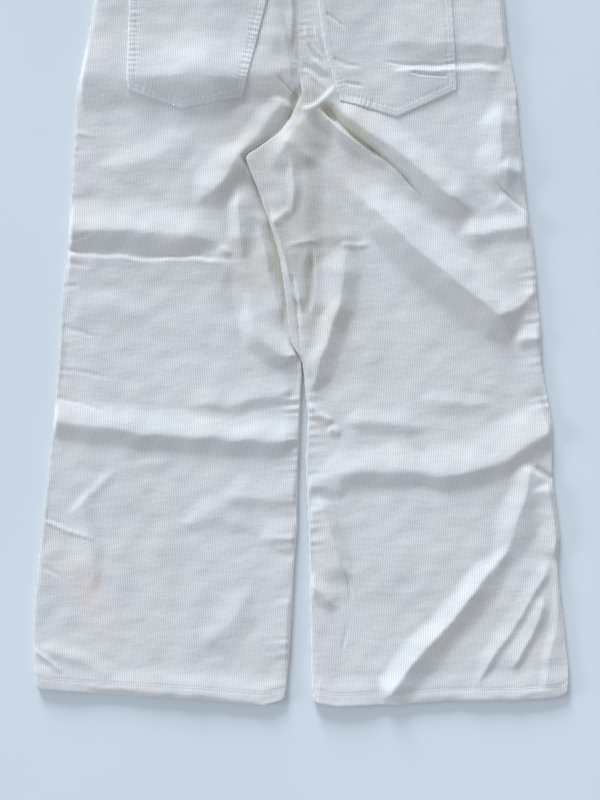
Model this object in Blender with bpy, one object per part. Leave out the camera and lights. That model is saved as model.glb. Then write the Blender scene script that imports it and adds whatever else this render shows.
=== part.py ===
"""Wide-leg corduroy trousers laid flat on their front, with the back panels on top.

The frame: X runs across the hips, Y from the hems up to the waist, Z up from the surface they lie on.
Every cut piece is a thin wall. The legs are worked out as cross-sections at stations along Y: a section
is a path through the middle of the cloth, thickened to both sides, and the stations are lofted. The front
panels lie flat on the surface. The back panels lie on them and carry the folds, which come from a table
of ridges. Near the crotch the right leg laps over the left one, and its front panel shows as a narrow
strip rolled round the inseam. Tables and sizes are in millimetres.
"""

import math
from collections import namedtuple

import bmesh
import bpy
import numpy as np
from mathutils import Vector

MM = 0.001

# Cloth and construction
CLOTH = 1.6  # thickness of a panel
HEM_CLOTH = 2.4  # a panel with its turned-up hem pressed flat
POCKET_CLOTH = 1.4
BAND_CLOTH = 2.4  # the waistband is faced with itself
LOFT = 1.3  # air between the front and the back panel
GAP = 0.3  # between two pieces that touch
SEAM_HALF = GAP / 2

# Heights of the places where the right leg lies on the left one
LAP_FRONT = 2 * CLOTH + LOFT + GAP  # the right front panel climbs on to the left leg
LAP_SEAT = CLOTH + GAP  # the right back panel climbs on to the left one at the crotch
LAP_BACK = LAP_FRONT - LAP_SEAT - 0.7  # and on to the right front panel below it
RAMP_LEFT = 2.5  # X where the climb is complete
RAMP_RIGHT = 28.0  # X where it starts
SEAT_CLIMB = (252.0, 222.0)  # Y where the climbs start and are complete
FLAP_CLIMB = (190.0, 160.0)
DESCENT = (-70.0, -99.0)  # Y where the right leg is down on the surface again

# Waist, hem and folds
WAIST_Y = 432.0
WAIST_TOP_Y = 467.8
BAND_TAPER = 4.0
HEM_Y = -462.0  # the nominal last station, bent to the hem's own line
HEM_BAND = 13.0
HEM_BLEND_Y = -350.0  # the stations below this one bend towards the hem's line
HEM_SLOPE = 22.0  # the cloth rises on to its hem over this length
EDGE_FADE = 11.0  # folds die out this near a leg's edge
COVER_FADE = 9.0  # and this near the flap that covers the left leg
CREST = 1.2  # 0 for a sharp crest, 2 for a round one
DEEPEST = 0.4  # troughs stay this near the flat cloth
ROW_STEP = 16.5

# Button at the front of the waistband, which the band drapes over
BUTTON_RADIUS = 8.5
BUTTON_THICK = 2.5
BUTTON_RIM = 0.5
BUTTON_HOLE = 1.0
BUTTON_PITCH = 1.9
BUTTON_X = -4.0
BUMP_FLAT = 10.5
BUMP_FOOT = 30.0

# The outline at stations along Y. left_in is where the left leg's inseam, or the centre seam, runs.
# right_in is the right leg's, which laps over to the left between the crotch and the thigh.
Station = namedtuple("Station", "y left_out left_in right_in right_out")
STATIONS = (
    Station(432, -207, -3.4, -3.4, 205),
    Station(398, -218, -4.0, -4.0, 215),
    Station(364, -227, -4.0, -4.0, 224),
    Station(330, -234, -4.0, -4.0, 229),
    Station(303, -238, -4.0, -4.0, 231),
    Station(280, -243, -3.4, -3.4, 233),
    Station(258, -247, -2.8, -2.8, 238),
    Station(240, -251, -1.5, -1.5, 241),
    Station(222, -254, 1.1, 1.1, 244),
    Station(212, -254, 0.0, -4.5, 244),
    Station(197, -254, 0.0, -11.9, 245),
    Station(181, -255, 0.0, -23.7, 246),
    Station(163, -256, 0.0, -47.5, 248),
    Station(153, -257, 0.0, -63.3, 249),
    Station(140, -258, 0.0, -58.8, 251),
    Station(122, -258, 0.0, -50.8, 253),
    Station(113, -259, 0.0, -47.4, 253.5),
    Station(104, -260, 0.0, -44.1, 254),
    Station(81, -262, 0.0, -36.2, 258),
    Station(59, -263, 0.0, -29.4, 261),
    Station(36, -265, 0.0, -23.7, 263),
    Station(14, -268, 0.0, -19.8, 266),
    Station(-9, -270, 0.0, -16.4, 267),
    Station(-32, -271, -0.6, -14.1, 270),
    Station(-50, -272, -1.1, -11.9, 271),
    Station(-62, -273, -1.1, -8.5, 271),
    Station(-70, -273, -1.2, -3.0, 271),
    Station(-80, -273, -1.4, 1.7, 272),
    Station(-99, -275, -1.7, 4.5, 275),
    Station(-122, -278, -3.4, 6.2, 279),
    Station(-145, -280, -3.6, 8.5, 283),
    Station(-167, -281, -4.2, 7.3, 284),
    Station(-190, -284, -4.5, 6.2, 284),
    Station(-212, -286, -4.5, 6.8, 285),
    Station(-235, -289, -4.5, 7.9, 287),
    Station(-260, -292, -4.5, 9.0, 290),
    Station(-276, -292, -5.6, 9.6, 293),
    Station(-301, -296, -7.7, 10.2, 290),
    Station(-325, -298, -8.7, 10.7, 291),
    Station(-353, -301, -10.2, 11.1, 294),
    Station(-375, -302, -11.9, 11.5, 297),
    Station(-398, -302, -12.4, 12.0, 299),
    Station(-425, -302, -14.7, 12.7, 302),
    Station(-449, -301, -16.9, 13.6, 302),
    Station(-462, -299, -18.5, 14.5, 301),
)

# How wide the right front panel shows on top of the inseam, and how far the back panel stops short of it
Strip = namedtuple("Strip", "y width short")
STRIP = (
    Strip(122, 0.0, 0.8),
    Strip(113, 1.7, 1.2),
    Strip(104, 4.5, 0.3),
    Strip(81, 6.0, 0.0),
    Strip(59, 6.5, 0.0),
    Strip(36, 8.5, 0.0),
    Strip(14, 10.5, 0.0),
    Strip(-9, 11.3, 0.0),
    Strip(-50, 10.5, 0.0),
    Strip(-62, 8.0, 0.0),
    Strip(-70, 4.0, 0.0),
    Strip(-80, 0.0, 0.0),
)
STRIP_TOP = 131.0  # above this the right back panel covers the front one

# Left edge of the hidden part of the right front panel, under the flap
Hidden = namedtuple("Hidden", "y x")
HIDDEN_FRONT = (Hidden(163, 1.1), Hidden(153, -10), Hidden(140, -40))

# Where the left back panel has to lie low, because the flap covers it
Cover = namedtuple("Cover", "y x")
COVER_TOP = (Cover(256, 24), Cover(240, 4), Cover(222, -7), Cover(212, -9))
COVER_BEYOND = 1.5  # and this far beyond the flap's edge
COVER_END = -80.0

# The hem's own line
HemPoint = namedtuple("HemPoint", "x y")
HEM_LINE = (
    HemPoint(-302, -446),
    HemPoint(-290, -449),
    HemPoint(-227, -454),
    HemPoint(-114, -460),
    HemPoint(-41, -467),
    HemPoint(-20, -461),
    HemPoint(14, -463),
    HemPoint(40, -468),
    HemPoint(112, -466),
    HemPoint(168, -462),
    HemPoint(247, -461),
    HemPoint(290, -458),
    HemPoint(302, -453),
)

# A fold is a ridge from (x0, y0) to (x1, y1), bowed to its left. left and right are the widths of its two
# flanks, seen along its run. fade0 and fade1 are the shares of its run over which its two ends rise.
Fold = namedtuple("Fold", "name x0 y0 x1 y1 bow height left right fade0 fade1")
LEFT_FOLDS = (
    Fold("seat ridge", -252, 249, -37, 246, -3, 6.5, 47, 34, 0.05, 0.2),
    Fold("seat drape", -233, 146, -108, 197, -14, 2.2, 18, 27, 0.3, 0.3),
    Fold("crotch roll", -133, 88, -12, 212, 0, 8.0, 23, 17, 0.25, 0.25),
    Fold("thigh ridge", -270, 70, -89, 51, 3, 6.0, 38, 21, 0.03, 0.25),
    Fold("thigh step", -270, 37, -33, 31, 0, 2.4, 7, 38, 0.03, 0.3),
    Fold("inner curl", -71, -34, 1, -79, -15, 4.0, 25, 18, 0.3, 0.1),
    Fold("inner drape", -66, 27, -69, -43, 0, 1.8, 16, 16, 0.3, 0.3),
    Fold("knee rise", -142, -127, -6, -108, -8, 2.0, 27, 16, 0.3, 0.1),
    Fold("knee ridge", -286, -144, 1, -168, -6, 6.5, 29, 17, 0.02, 0.03),
    Fold("calf fold", -261, -251, -205, -199, 0, 2.5, 12, 12, 0.2, 0.3),
    Fold("calf drape", -137, -267, -44, -228, 3, 1.8, 20, 22, 0.3, 0.3),
    Fold("calf rise", -97, -231, -1, -232, 0, 2.0, 29, 18, 0.4, 0.05),
    Fold("calf pull", -52, -281, -1, -280, 0, 2.0, 23, 16, 0.4, 0.05),
    Fold("shin pull", -52, -373, -8, -376, 0, 1.5, 34, 12, 0.4, 0.05),
    Fold("shin drape", -266, -286, -236, -348, 0, 1.6, 16, 16, 0.3, 0.3),
)
RIGHT_FOLDS = (
    Fold("crotch ridge", 0, 211, 40, 242, -7, 3.5, 14, 14, 0.3, 0.2),
    Fold("pleat", 11, 214, 142, 95, 0, 6.5, 8, 27, 0.1, 0.55),
    Fold("seat pleat", 37, 235, 76, 175, 0, 4.0, 16, 12, 0.2, 0.2),
    Fold("hip fold", 73, 185, 207, 88, 0, 4.5, 29, 18, 0.2, 0.25),
    Fold("thigh fold", 27, 118, 231, -29, 15, 8.0, 29, 34, 0.3, 0.1),
    Fold("inner fold", 44, 55, 44, -34, 5, 4.5, 16, 23, 0.2, 0.1),
    Fold("inner fold end", 44, -23, 14, -113, 0, 4.5, 16, 20, 0.1, 0.2),
    Fold("flap fold", -15, 149, -12, 84, 0, 2.5, 17, 14, 0.3, 0.3),
    Fold("flap ridge", -40, 162, 24, 158, 8, 3.5, 23, 17, 0.35, 0.3),
    Fold("hip pull", 220, 142, 264, 136, 0, 3.0, 16, 23, 0.3, 0.05),
    Fold("side fold", 174, 58, 266, 72, 3, 3.0, 16, 25, 0.25, 0.05),
    Fold("side pinch", 225, -29, 271, 2, 0, 4.0, 16, 14, 0.2, 0.05),
    Fold("side pinch end", 238, -52, 276, -49, 0, 3.0, 16, 16, 0.3, 0.05),
    Fold("knee ridge", 3, -212, 157, -206, 7, 6.0, 29, 16, 0.05, 0.1),
    Fold("knee ridge end", 140, -212, 287, -154, -12, 7.0, 32, 16, 0.1, 0.05),
    Fold("knee rise", 46, -146, 148, -149, 0, 2.0, 18, 16, 0.2, 0.3),
    Fold("shin fold", 94, -457, 238, -286, 0, 7.5, 23, 23, 0.06, 0.05),
    Fold("shin fold end", 234, -294, 272, -188, 0, 6.5, 17, 15, 0.1, 0.1),
    Fold("outer shin fold", 225, -452, 288, -305, -7, 5.5, 23, 14, 0.12, 0.1),
    Fold("edge fold", 276, -457, 297, -320, 0, 3.5, 18, 14, 0.15, 0.1),
    Fold("inner pull", 6, -219, 55, -226, 0, 2.5, 16, 14, 0.05, 0.3),
    Fold("shin crease", 47, -314, 47, -410, 6, 2.0, 12, 17, 0.2, 0.2),
)

# Corners of the back pockets, from the mouth's left end round the bottom to its right end
Corner = namedtuple("Corner", "x y")
LEFT_POCKET = (
    Corner(-193, 364),
    Corner(-196, 228),
    Corner(-132, 207),
    Corner(-65.5, 220),
    Corner(-29, 364),
)
RIGHT_POCKET = (
    Corner(13.6, 364),
    Corner(27, 273.5),
    Corner(44, 216),
    Corner(109.6, 197.8),
    Corner(176.3, 228.3),
    Corner(168.4, 364),
)

CREAM = (0.80, 0.78, 0.72, 1.0)
IVORY = (0.86, 0.84, 0.78, 1.0)


def smooth(t):
    """Rises from 0 to 1 as t does, with level ends."""
    t = np.clip(t, 0.0, 1.0)
    return t * t * (3.0 - 2.0 * t)


def climb(y, span):
    """0 above the first Y of span and 1 below the second."""
    return smooth((span[0] - y) / (span[0] - span[1]))


def read(table, column, y):
    """A column of a table whose rows run down Y, read at any Y."""
    ys = [-row.y for row in table]
    values = [getattr(row, column) for row in table]
    return float(np.interp(-y, ys, values))


def fold_height(folds, x, y):
    """How far the folds lift the cloth at a point."""
    total = 0.0
    for fold in folds:
        run = math.hypot(fold.x1 - fold.x0, fold.y1 - fold.y0)
        along_x = (fold.x1 - fold.x0) / run
        along_y = (fold.y1 - fold.y0) / run
        share = ((x - fold.x0) * along_x + (y - fold.y0) * along_y) / run
        if not 0.0 < share < 1.0:
            continue
        bowed = 4.0 * fold.bow * share * (1.0 - share)
        aside = (y - fold.y0) * along_x - (x - fold.x0) * along_y - bowed
        u = aside / fold.left if aside > 0.0 else -aside / fold.right
        if u >= 1.0:
            continue
        ends = smooth(share / fold.fade0) * smooth((1.0 - share) / fold.fade1)
        total += fold.height * ends * (1.0 - u) ** 2 * (1.0 + CREST * u)
    return max(total, -DEEPEST)


def hem_line(x):
    return float(np.interp(x, [p.x for p in HEM_LINE], [p.y for p in HEM_LINE]))


def bent_y(x, y):
    """The Y of a point at station y: the lowest stations bend to the hem's line."""
    share = smooth((HEM_BLEND_Y - y) / (HEM_BLEND_Y - HEM_Y))
    return y + (hem_line(x) - HEM_Y) * float(share)


def cloth_at(y):
    """A panel's thickness, with its hem turned up inside it."""
    share = float(smooth((HEM_Y + HEM_BAND + HEM_SLOPE - y) / HEM_SLOPE))
    return CLOTH + (HEM_CLOTH - CLOTH) * share


def front_middle(y):
    return cloth_at(y) / 2.0


def back_middle(y):
    return 1.5 * cloth_at(y) + LOFT


def ramp(x):
    return float(smooth((RAMP_RIGHT - x) / (RAMP_RIGHT - RAMP_LEFT)))


def lap_of_front(x, y):
    """How far the right front panel is lifted by the left leg under it."""
    down = 1.0 - climb(y, DESCENT)
    return LAP_FRONT * climb(y, FLAP_CLIMB) * down * ramp(x)


def lap_of_back(x, y):
    """How far the right back panel is lifted."""
    down = 1.0 - climb(y, DESCENT)
    lift = LAP_SEAT * climb(y, SEAT_CLIMB) + LAP_BACK * climb(y, FLAP_CLIMB)
    return lift * down * ramp(x)


def cover_line(y):
    """X of the line beyond which the flap covers the left leg."""
    if y >= COVER_TOP[-1].y:
        return read(COVER_TOP, "x", y)
    return read(STATIONS, "right_in", y) - COVER_BEYOND


def left_height(x, y):
    """The left back panel's folds, which die out at its edges and under the flap."""
    height = fold_height(LEFT_FOLDS, x, y)
    height *= smooth((x - read(STATIONS, "left_out", y)) / EDGE_FADE)
    if y > COVER_END:
        return height * smooth((cover_line(y) - x) / COVER_FADE)
    return height * smooth((read(STATIONS, "left_in", y) - x) / EDGE_FADE)


def right_height(x, y):
    """The right back panel's folds, which die out at its edges below the crotch."""
    height = fold_height(RIGHT_FOLDS, x, y)
    height *= smooth((read(STATIONS, "right_out", y) - x) / EDGE_FADE)
    if y < SEAT_CLIMB[1]:
        height *= smooth((x - read(STATIONS, "right_in", y)) / EDGE_FADE)
    return height


def rows(finest, top=WAIST_Y, bottom=HEM_Y):
    """The stations' Y, with more between those that lie further apart than finest."""
    ys = [s.y for s in STATIONS if bottom <= s.y <= top]
    found = [ys[0]]
    for upper, lower in zip(ys, ys[1:]):
        parts = max(1, math.ceil((upper - lower) / finest - 0.25))
        found += [upper + (lower - upper) * (i + 1) / parts for i in range(parts)]
    return found


def columns(keys, counts):
    """X positions from the first key to the last, with counts spaces between each two."""
    xs = [keys[0]]
    for a, b, count in zip(keys, keys[1:], counts):
        xs += [a + (b - a) * (i + 1) / count for i in range(count)]
    return xs


class Edge:
    """One edge of a leg at a station: a fold of the tube at x, or a butted seam if radius is None.

    side is -1 for a left edge and 1 for a right one. lap is how far the seam lies from the fold on top.
    """

    POINTS = 3
    STEP = 1.2  # between the points of a seam on the flat

    def __init__(self, side, x, radius=None, cloth=CLOTH, lap=0.0):
        self.side = side
        self.x = x
        self.radius = radius
        self.lap = lap
        self.inner = x - side * (SEAM_HALF if radius is None else radius + cloth / 2.0)

    def reach(self, turn):
        """How far round the fold the panel goes. turn is 1 for the front panel and -1 for the back one."""
        if self.radius is None:
            return 0.0
        return self.radius * math.pi / 2.0 + turn * self.lap - SEAM_HALF

    def run(self, level, turn):
        """Points from the seam to the panel's flat part."""
        reach = self.reach(turn)
        if reach <= 0.0:
            arcs = [reach - self.STEP * i for i in range(self.POINTS)]
        else:
            arcs = [reach * (self.POINTS - i) / self.POINTS for i in range(self.POINTS)]
        return [self.at(arc, level, turn) for arc in arcs]

    def at(self, arc, level, turn):
        """A point of the panel this far round the fold from where the fold starts."""
        if arc <= 0.0:
            return (self.inner + self.side * arc, level)
        angle = arc / self.radius
        if angle > math.pi:
            past = arc - math.pi * self.radius
            return (self.inner - self.side * past, level + turn * 2.0 * self.radius)
        x = self.inner + self.side * self.radius * math.sin(angle)
        return (x, level + turn * self.radius * (1.0 - math.cos(angle)))

    def heading(self, turn):
        """The panel's direction at its seam, out from its flat part."""
        reach = self.reach(turn)
        if reach <= 0.0:
            return (self.side, 0.0)
        angle = min(reach / self.radius, math.pi)
        return (self.side * math.cos(angle), turn * math.sin(angle))

    def start(self, turn):
        """X where the panel's flat part starts."""
        reach = self.reach(turn)
        if reach <= 0.0:
            return self.inner + self.side * (reach - self.STEP * self.POINTS)
        return self.inner - self.side * self.STEP / 2.0


def section(left, right, keys, counts, height, turn, cloth):
    """The upper and lower points of one panel at a station, from its left seam to its right one."""
    inside = columns([left.start(turn)] + keys + [right.start(turn)], counts)
    path = left.run(height(left.inner), turn)
    path += [(x, height(x)) for x in inside]
    path += reversed(right.run(height(right.inner), turn))
    points = np.array(path)
    ahead = np.empty_like(points)
    ahead[1:-1] = points[2:] - points[:-2]
    ahead[0] = -np.array(left.heading(turn))
    ahead[-1] = right.heading(turn)
    ahead /= np.linalg.norm(ahead, axis=1)[:, None]
    across = np.stack([-ahead[:, 1], ahead[:, 0]], axis=1) * cloth / 2.0
    return points + across, points - across


def quad(a, b, c, d):
    """Two triangles."""
    return [(a, b, c), (a, c, d)]


def loft(sections):
    """One closed wall from (y, upper, lower) sections that run down Y.

    It gives the points, the faces, and how many of the faces are the upper side's.
    """
    count = len(sections[0][1])
    points = []
    for y, upper, lower in sections:
        for side in (upper, lower):
            points += [(x, bent_y(x, y), z) for x, z in side]

    def up(row, i):
        return 2 * count * row + i

    def low(row, i):
        return 2 * count * row + count + i

    top, rest = [], []
    last = len(sections) - 1
    for row in range(last):
        for i in range(count - 1):
            top += quad(up(row, i), up(row + 1, i), up(row + 1, i + 1), up(row, i + 1))
            rest += quad(low(row, i), low(row, i + 1), low(row + 1, i + 1), low(row + 1, i))
        for i, first in ((0, True), (count - 1, False)):
            side = (up(row, i), low(row, i), low(row + 1, i), up(row + 1, i))
            rest += quad(*side) if first else quad(*reversed(side))
    for i in range(count - 1):
        rest += quad(up(0, i), up(0, i + 1), low(0, i + 1), low(0, i))
        rest += quad(up(last, i), low(last, i), low(last, i + 1), up(last, i + 1))
    return points, top + rest, len(top)


def material(name, color, roughness):
    made = bpy.data.materials.new(name)
    made.use_nodes = True
    shader = made.node_tree.nodes["Principled BSDF"]
    shader.inputs["Base Color"].default_value = color
    shader.inputs["Roughness"].default_value = roughness
    return made


def add(name, points, faces, finish):
    """An object from points in millimetres."""
    mesh = bpy.data.meshes.new(name)
    mesh.from_pydata([[value * MM for value in p] for p in points], [], faces)
    mesh.materials.append(finish)
    mesh.shade_smooth()
    mesh.set_sharp_from_angle(angle=math.radians(50))
    made = bpy.data.objects.new(name, mesh)
    bpy.context.scene.collection.objects.link(made)
    return made


def left_edges(y):
    """The left leg's outer and inner edge at a station."""
    cloth = cloth_at(y)
    radius = (back_middle(y) - front_middle(y)) / 2.0
    outer = Edge(-1, read(STATIONS, "left_out", y), radius, cloth)
    x = read(STATIONS, "left_in", y)
    inner = Edge(1, x) if y >= SEAT_CLIMB[1] else Edge(1, x, radius, cloth)
    return outer, inner


def right_edges(y, front):
    """The right leg's inner and outer edge at a station, for its front or its back panel."""
    cloth = cloth_at(y)
    outer_radius = (back_middle(y) - front_middle(y)) / 2.0
    outer = Edge(1, read(STATIONS, "right_out", y), outer_radius, cloth)
    x = read(STATIONS, "right_in", y)
    if front and y >= HIDDEN_FRONT[0].y:
        return Edge(-1, max(x, HIDDEN_FRONT[0].x) if y < SEAT_CLIMB[1] else x), outer
    if y > STRIP_TOP:
        return Edge(-1, read(HIDDEN_FRONT, "x", y) if front else x), outer
    lifts = lap_of_back(x, y) - lap_of_front(x, y)
    radius = outer_radius + lifts / 2.0
    lap = read(STRIP, "width", y) + (0.0 if front else read(STRIP, "short", y))
    return Edge(-1, x, radius, cloth, lap), outer


def build_left_back(finish):
    sections = []
    for y in rows(ROW_STEP):
        outer, inner = left_edges(y)
        key = cover_line(y) if COVER_END < y < SEAT_CLIMB[1] else inner.inner - 12.0
        keys = [min(key, inner.inner - 3.0)]

        def height(x, y=y):
            return back_middle(y) + left_height(x, y)

        sections.append((y, *section(outer, inner, keys, (13, 2), height, -1, cloth_at(y))))
    points, faces, upper = loft(sections)
    add("back_left", points, faces, finish)
    return points, faces[:upper]


def build_right_back(finish):
    sections = []
    for y in rows(ROW_STEP):
        inner, outer = right_edges(y, front=False)
        first = max(RAMP_LEFT, inner.start(-1) + 3.0)
        keys = [first, first + RAMP_RIGHT - RAMP_LEFT]

        def height(x, y=y):
            return back_middle(y) + lap_of_back(x, y) + right_height(x, y)

        sections.append((y, *section(inner, outer, keys, (2, 2, 12), height, -1, cloth_at(y))))
    points, faces, upper = loft(sections)
    add("back_right", points, faces, finish)
    return points, faces[:upper]


def build_left_front(finish):
    sections = []
    for y in rows(2.0 * ROW_STEP):
        outer, inner = left_edges(y)

        def height(x, y=y):
            return front_middle(y)

        sections.append((y, *section(outer, inner, [], (1,), height, 1, cloth_at(y))))
    points, faces, _ = loft(sections)
    add("front_left", points, faces, finish)


def build_right_front(finish):
    sections = []
    for y in rows(2.0 * ROW_STEP):
        inner, outer = right_edges(y, front=True)
        first = max(RAMP_LEFT, inner.start(1) + 3.0)
        keys = [first, first + RAMP_RIGHT - RAMP_LEFT]

        def height(x, y=y):
            return front_middle(y) + lap_of_front(x, y)

        sections.append((y, *section(inner, outer, keys, (1, 3, 1), height, 1, cloth_at(y))))
    points, faces, _ = loft(sections)
    add("front_right", points, faces, finish)


def build_pocket(name, surface, corners, finish):
    """A patch pocket: the panel's upper side cut to the pocket's outline, moved out and thickened."""
    points, faces = surface
    cut = bmesh.new()
    verts = [cut.verts.new(p) for p in points]
    for face in faces:
        cut.faces.new([verts[i] for i in face])
    for loose in [v for v in cut.verts if not v.link_faces]:
        cut.verts.remove(loose)
    centre = Vector((sum(c.x for c in corners), sum(c.y for c in corners), 0.0)) / len(corners)
    for a, b in zip(corners, corners[1:] + corners[:1]):
        out = Vector((b.y - a.y, a.x - b.x, 0.0))
        if out.dot(Vector((a.x, a.y, 0.0)) - centre) < 0.0:
            out.negate()
        everything = cut.verts[:] + cut.edges[:] + cut.faces[:]
        bmesh.ops.bisect_plane(
            cut, geom=everything, plane_co=(a.x, a.y, 0.0), plane_no=out, dist=1e-4, clear_outer=True
        )
    bmesh.ops.remove_doubles(cut, verts=cut.verts, dist=0.05)
    bmesh.ops.triangulate(cut, faces=cut.faces)
    cut.verts.index_update()
    patch = [tuple(v.co) for v in cut.verts]
    tops = [tuple(v.index for v in f.verts) for f in cut.faces]
    rim = [tuple(v.index for v in (e.link_loops[0].vert, e.link_loops[0].link_loop_next.vert))
           for e in cut.edges if len(e.link_faces) == 1]
    cut.free()
    count = len(patch)
    solid = [(x, y, z + GAP + POCKET_CLOTH) for x, y, z in patch]
    solid += [(x, y, z + GAP) for x, y, z in patch]
    shell = list(tops)
    shell += [tuple(i + count for i in reversed(face)) for face in tops]
    for a, b in rim:
        shell += quad(b, a, a + count, b + count)
    add(name, solid, shell, finish)


def band_raise(x):
    """How far the waistband is lifted where it lies on its button."""
    share = smooth((BUMP_FOOT - abs(x - BUTTON_X)) / (BUMP_FOOT - BUMP_FLAT))
    return (BUTTON_THICK + GAP) * float(share)


def band_loop(left, right, inset):
    """One closed loop round the flattened waistband, from its lower left side."""
    height = 2.0 * BAND_CLOTH + 0.6
    radius = height / 2.0 - inset
    centre = height / 2.0
    a = left + inset + radius
    b = right - inset - radius
    steps = 26
    turn = 4
    xs = [a + (b - a) * i / steps for i in range(steps + 1)]
    loop = [(x, inset + band_raise(x)) for x in xs]
    angles = [math.pi * (i + 1) / (turn + 1) for i in range(turn)]
    loop += [(b + radius * math.sin(t), centre - radius * math.cos(t)) for t in angles]
    loop += [(x, height - inset + band_raise(x)) for x in reversed(xs)]
    loop += [(a - radius * math.sin(t), centre + radius * math.cos(t)) for t in angles]
    return loop


def build_waistband(finish):
    """A flattened ring, open at both ends, with its outer edges eased."""
    low, high = WAIST_Y + GAP, WAIST_TOP_Y
    ease = 0.7
    outer_rows = ((low, ease), (low + ease, 0.0), (high - ease, 0.0), (high, ease))
    loops = []
    for y, inset in outer_rows:
        taper = BAND_TAPER * (y - low) / (high - low)
        edge = STATIONS[0]
        loops.append((y, band_loop(edge.left_out + taper, edge.right_out - taper, inset)))
    for y in (high, low):
        taper = BAND_TAPER * (y - low) / (high - low)
        edge = STATIONS[0]
        loops.append((y, band_loop(edge.left_out + taper, edge.right_out - taper, BAND_CLOTH)))
    count = len(loops[0][1])
    points = [(x, y, z) for y, loop in loops for x, z in loop]
    faces = []
    for ring in range(len(loops)):
        beyond = (ring + 1) % len(loops)
        for i in range(count):
            j = (i + 1) % count
            faces += quad(ring * count + i, beyond * count + i, beyond * count + j, ring * count + j)
    add("waistband", points, faces, finish)


def build_button(finish):
    """A four-hole button under the front of the waistband: a dished disc with a raised rim."""
    middle = (WAIST_Y + WAIST_TOP_Y) / 2.0
    profile = (
        (0.0, BUTTON_RIM),
        (BUTTON_RADIUS - 2.2, BUTTON_RIM),
        (BUTTON_RADIUS - 1.4, 0.0),
        (BUTTON_RADIUS - 0.6, 0.0),
        (BUTTON_RADIUS, 0.9),
        (BUTTON_RADIUS - 0.4, BUTTON_THICK - 0.4),
        (BUTTON_RADIUS - 1.4, BUTTON_THICK),
        (0.0, BUTTON_THICK),
    )
    disc = bmesh.new()
    verts = [disc.verts.new((r * MM, 0.0, z * MM)) for r, z in profile]
    edges = [disc.edges.new(pair) for pair in zip(verts, verts[1:])]
    bmesh.ops.spin(
        disc, geom=verts + edges, cent=(0, 0, 0), axis=(0, 0, 1), angle=math.tau, steps=28, use_merge=True
    )
    bmesh.ops.remove_doubles(disc, verts=disc.verts, dist=1e-5)
    bmesh.ops.recalc_face_normals(disc, faces=disc.faces)
    mesh = bpy.data.meshes.new("button")
    disc.to_mesh(mesh)
    disc.free()
    mesh.materials.append(finish)
    made = bpy.data.objects.new("button", mesh)
    made.location = (BUTTON_X * MM, middle * MM, 0.0)
    bpy.context.scene.collection.objects.link(made)
    for i in range(4):
        turn = math.tau * (i + 0.5) / 4
        bpy.ops.mesh.primitive_cylinder_add(
            vertices=10,
            radius=BUTTON_HOLE * MM,
            depth=4 * BUTTON_THICK * MM,
            location=(
                made.location.x + BUTTON_PITCH * MM * math.cos(turn),
                made.location.y + BUTTON_PITCH * MM * math.sin(turn),
                0.0,
            ),
        )
        drill = bpy.context.object
        drill.name = f"button_drill_{i + 1}"
        drill.hide_render = True
        drill.display_type = "WIRE"
        hole = made.modifiers.new(f"hole_{i + 1}", "BOOLEAN")
        hole.object = drill
        hole.operation = "DIFFERENCE"


def build():
    for old in list(bpy.data.objects):
        bpy.data.objects.remove(old, do_unlink=True)
    corduroy = material("cream_corduroy", CREAM, 0.9)
    band = material("cream_corduroy_band", CREAM, 0.9)
    ivory = material("ivory_button", IVORY, 0.35)
    build_left_front(corduroy)
    build_right_front(corduroy)
    left = build_left_back(corduroy)
    right = build_right_back(corduroy)
    build_pocket("pocket_left", left, LEFT_POCKET, corduroy)
    build_pocket("pocket_right", right, RIGHT_POCKET, corduroy)
    build_waistband(band)
    build_button(ivory)


build()
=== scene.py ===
"""The looks of the corduroy trousers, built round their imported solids.

Every cut piece is a thin sheet whose columns of points run along the wales of its corduroy, so that the
ribs, the folds and the rolled edges are all in the mesh. The outline, the laps and the large folds are those
of the solids. Small creases, puckers at the seams, hems, stitches and the nap are added here. Tables and
sizes are in millimetres until a mesh is made.
"""

import math
from collections import namedtuple

import bpy
import numpy as np
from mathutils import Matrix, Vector

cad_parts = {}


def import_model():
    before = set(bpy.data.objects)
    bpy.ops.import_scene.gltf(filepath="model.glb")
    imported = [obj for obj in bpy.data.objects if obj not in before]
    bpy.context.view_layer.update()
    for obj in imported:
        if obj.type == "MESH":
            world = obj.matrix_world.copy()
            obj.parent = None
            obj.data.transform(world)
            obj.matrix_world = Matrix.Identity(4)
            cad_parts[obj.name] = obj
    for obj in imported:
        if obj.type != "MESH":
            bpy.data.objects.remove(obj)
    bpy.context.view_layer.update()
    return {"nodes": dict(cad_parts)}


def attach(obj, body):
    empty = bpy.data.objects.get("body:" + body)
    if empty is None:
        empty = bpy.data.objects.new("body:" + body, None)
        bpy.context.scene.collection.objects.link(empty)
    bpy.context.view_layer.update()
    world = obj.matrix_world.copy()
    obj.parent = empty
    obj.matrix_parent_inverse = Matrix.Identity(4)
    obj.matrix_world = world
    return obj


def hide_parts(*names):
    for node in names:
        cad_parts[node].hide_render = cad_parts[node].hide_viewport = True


MM = 0.001

# Cloth and construction, as in the solids
CLOTH = 1.6
HEM_CLOTH = 2.4
BAND_CLOTH = 2.4
BAND_HOLLOW = 0.6
BAND_HEIGHT = 2 * BAND_CLOTH + BAND_HOLLOW
LOFT = 1.3
GAP = 0.3
LAP_FRONT = 2 * CLOTH + LOFT + GAP  # how far the left leg lifts the right front panel over it
LAP_SEAT = CLOTH + GAP  # how far it lifts the back one at the seat, and how much more at the flap
LAP_BEDDING = 0.7  # how far the back one beds down on the front one
LAP_BACK = LAP_FRONT - LAP_SEAT - LAP_BEDDING
RAMP_LEFT = 2.5  # X between which a lap comes down
RAMP_RIGHT = 28.0
SEAT_CLIMB = (252.0, 222.0)
FLAP_CLIMB = (190.0, 160.0)
DESCENT = (-70.0, -99.0)
SEAM_END = 222.0  # Y where the centre seam ends and the flap begins

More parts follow.
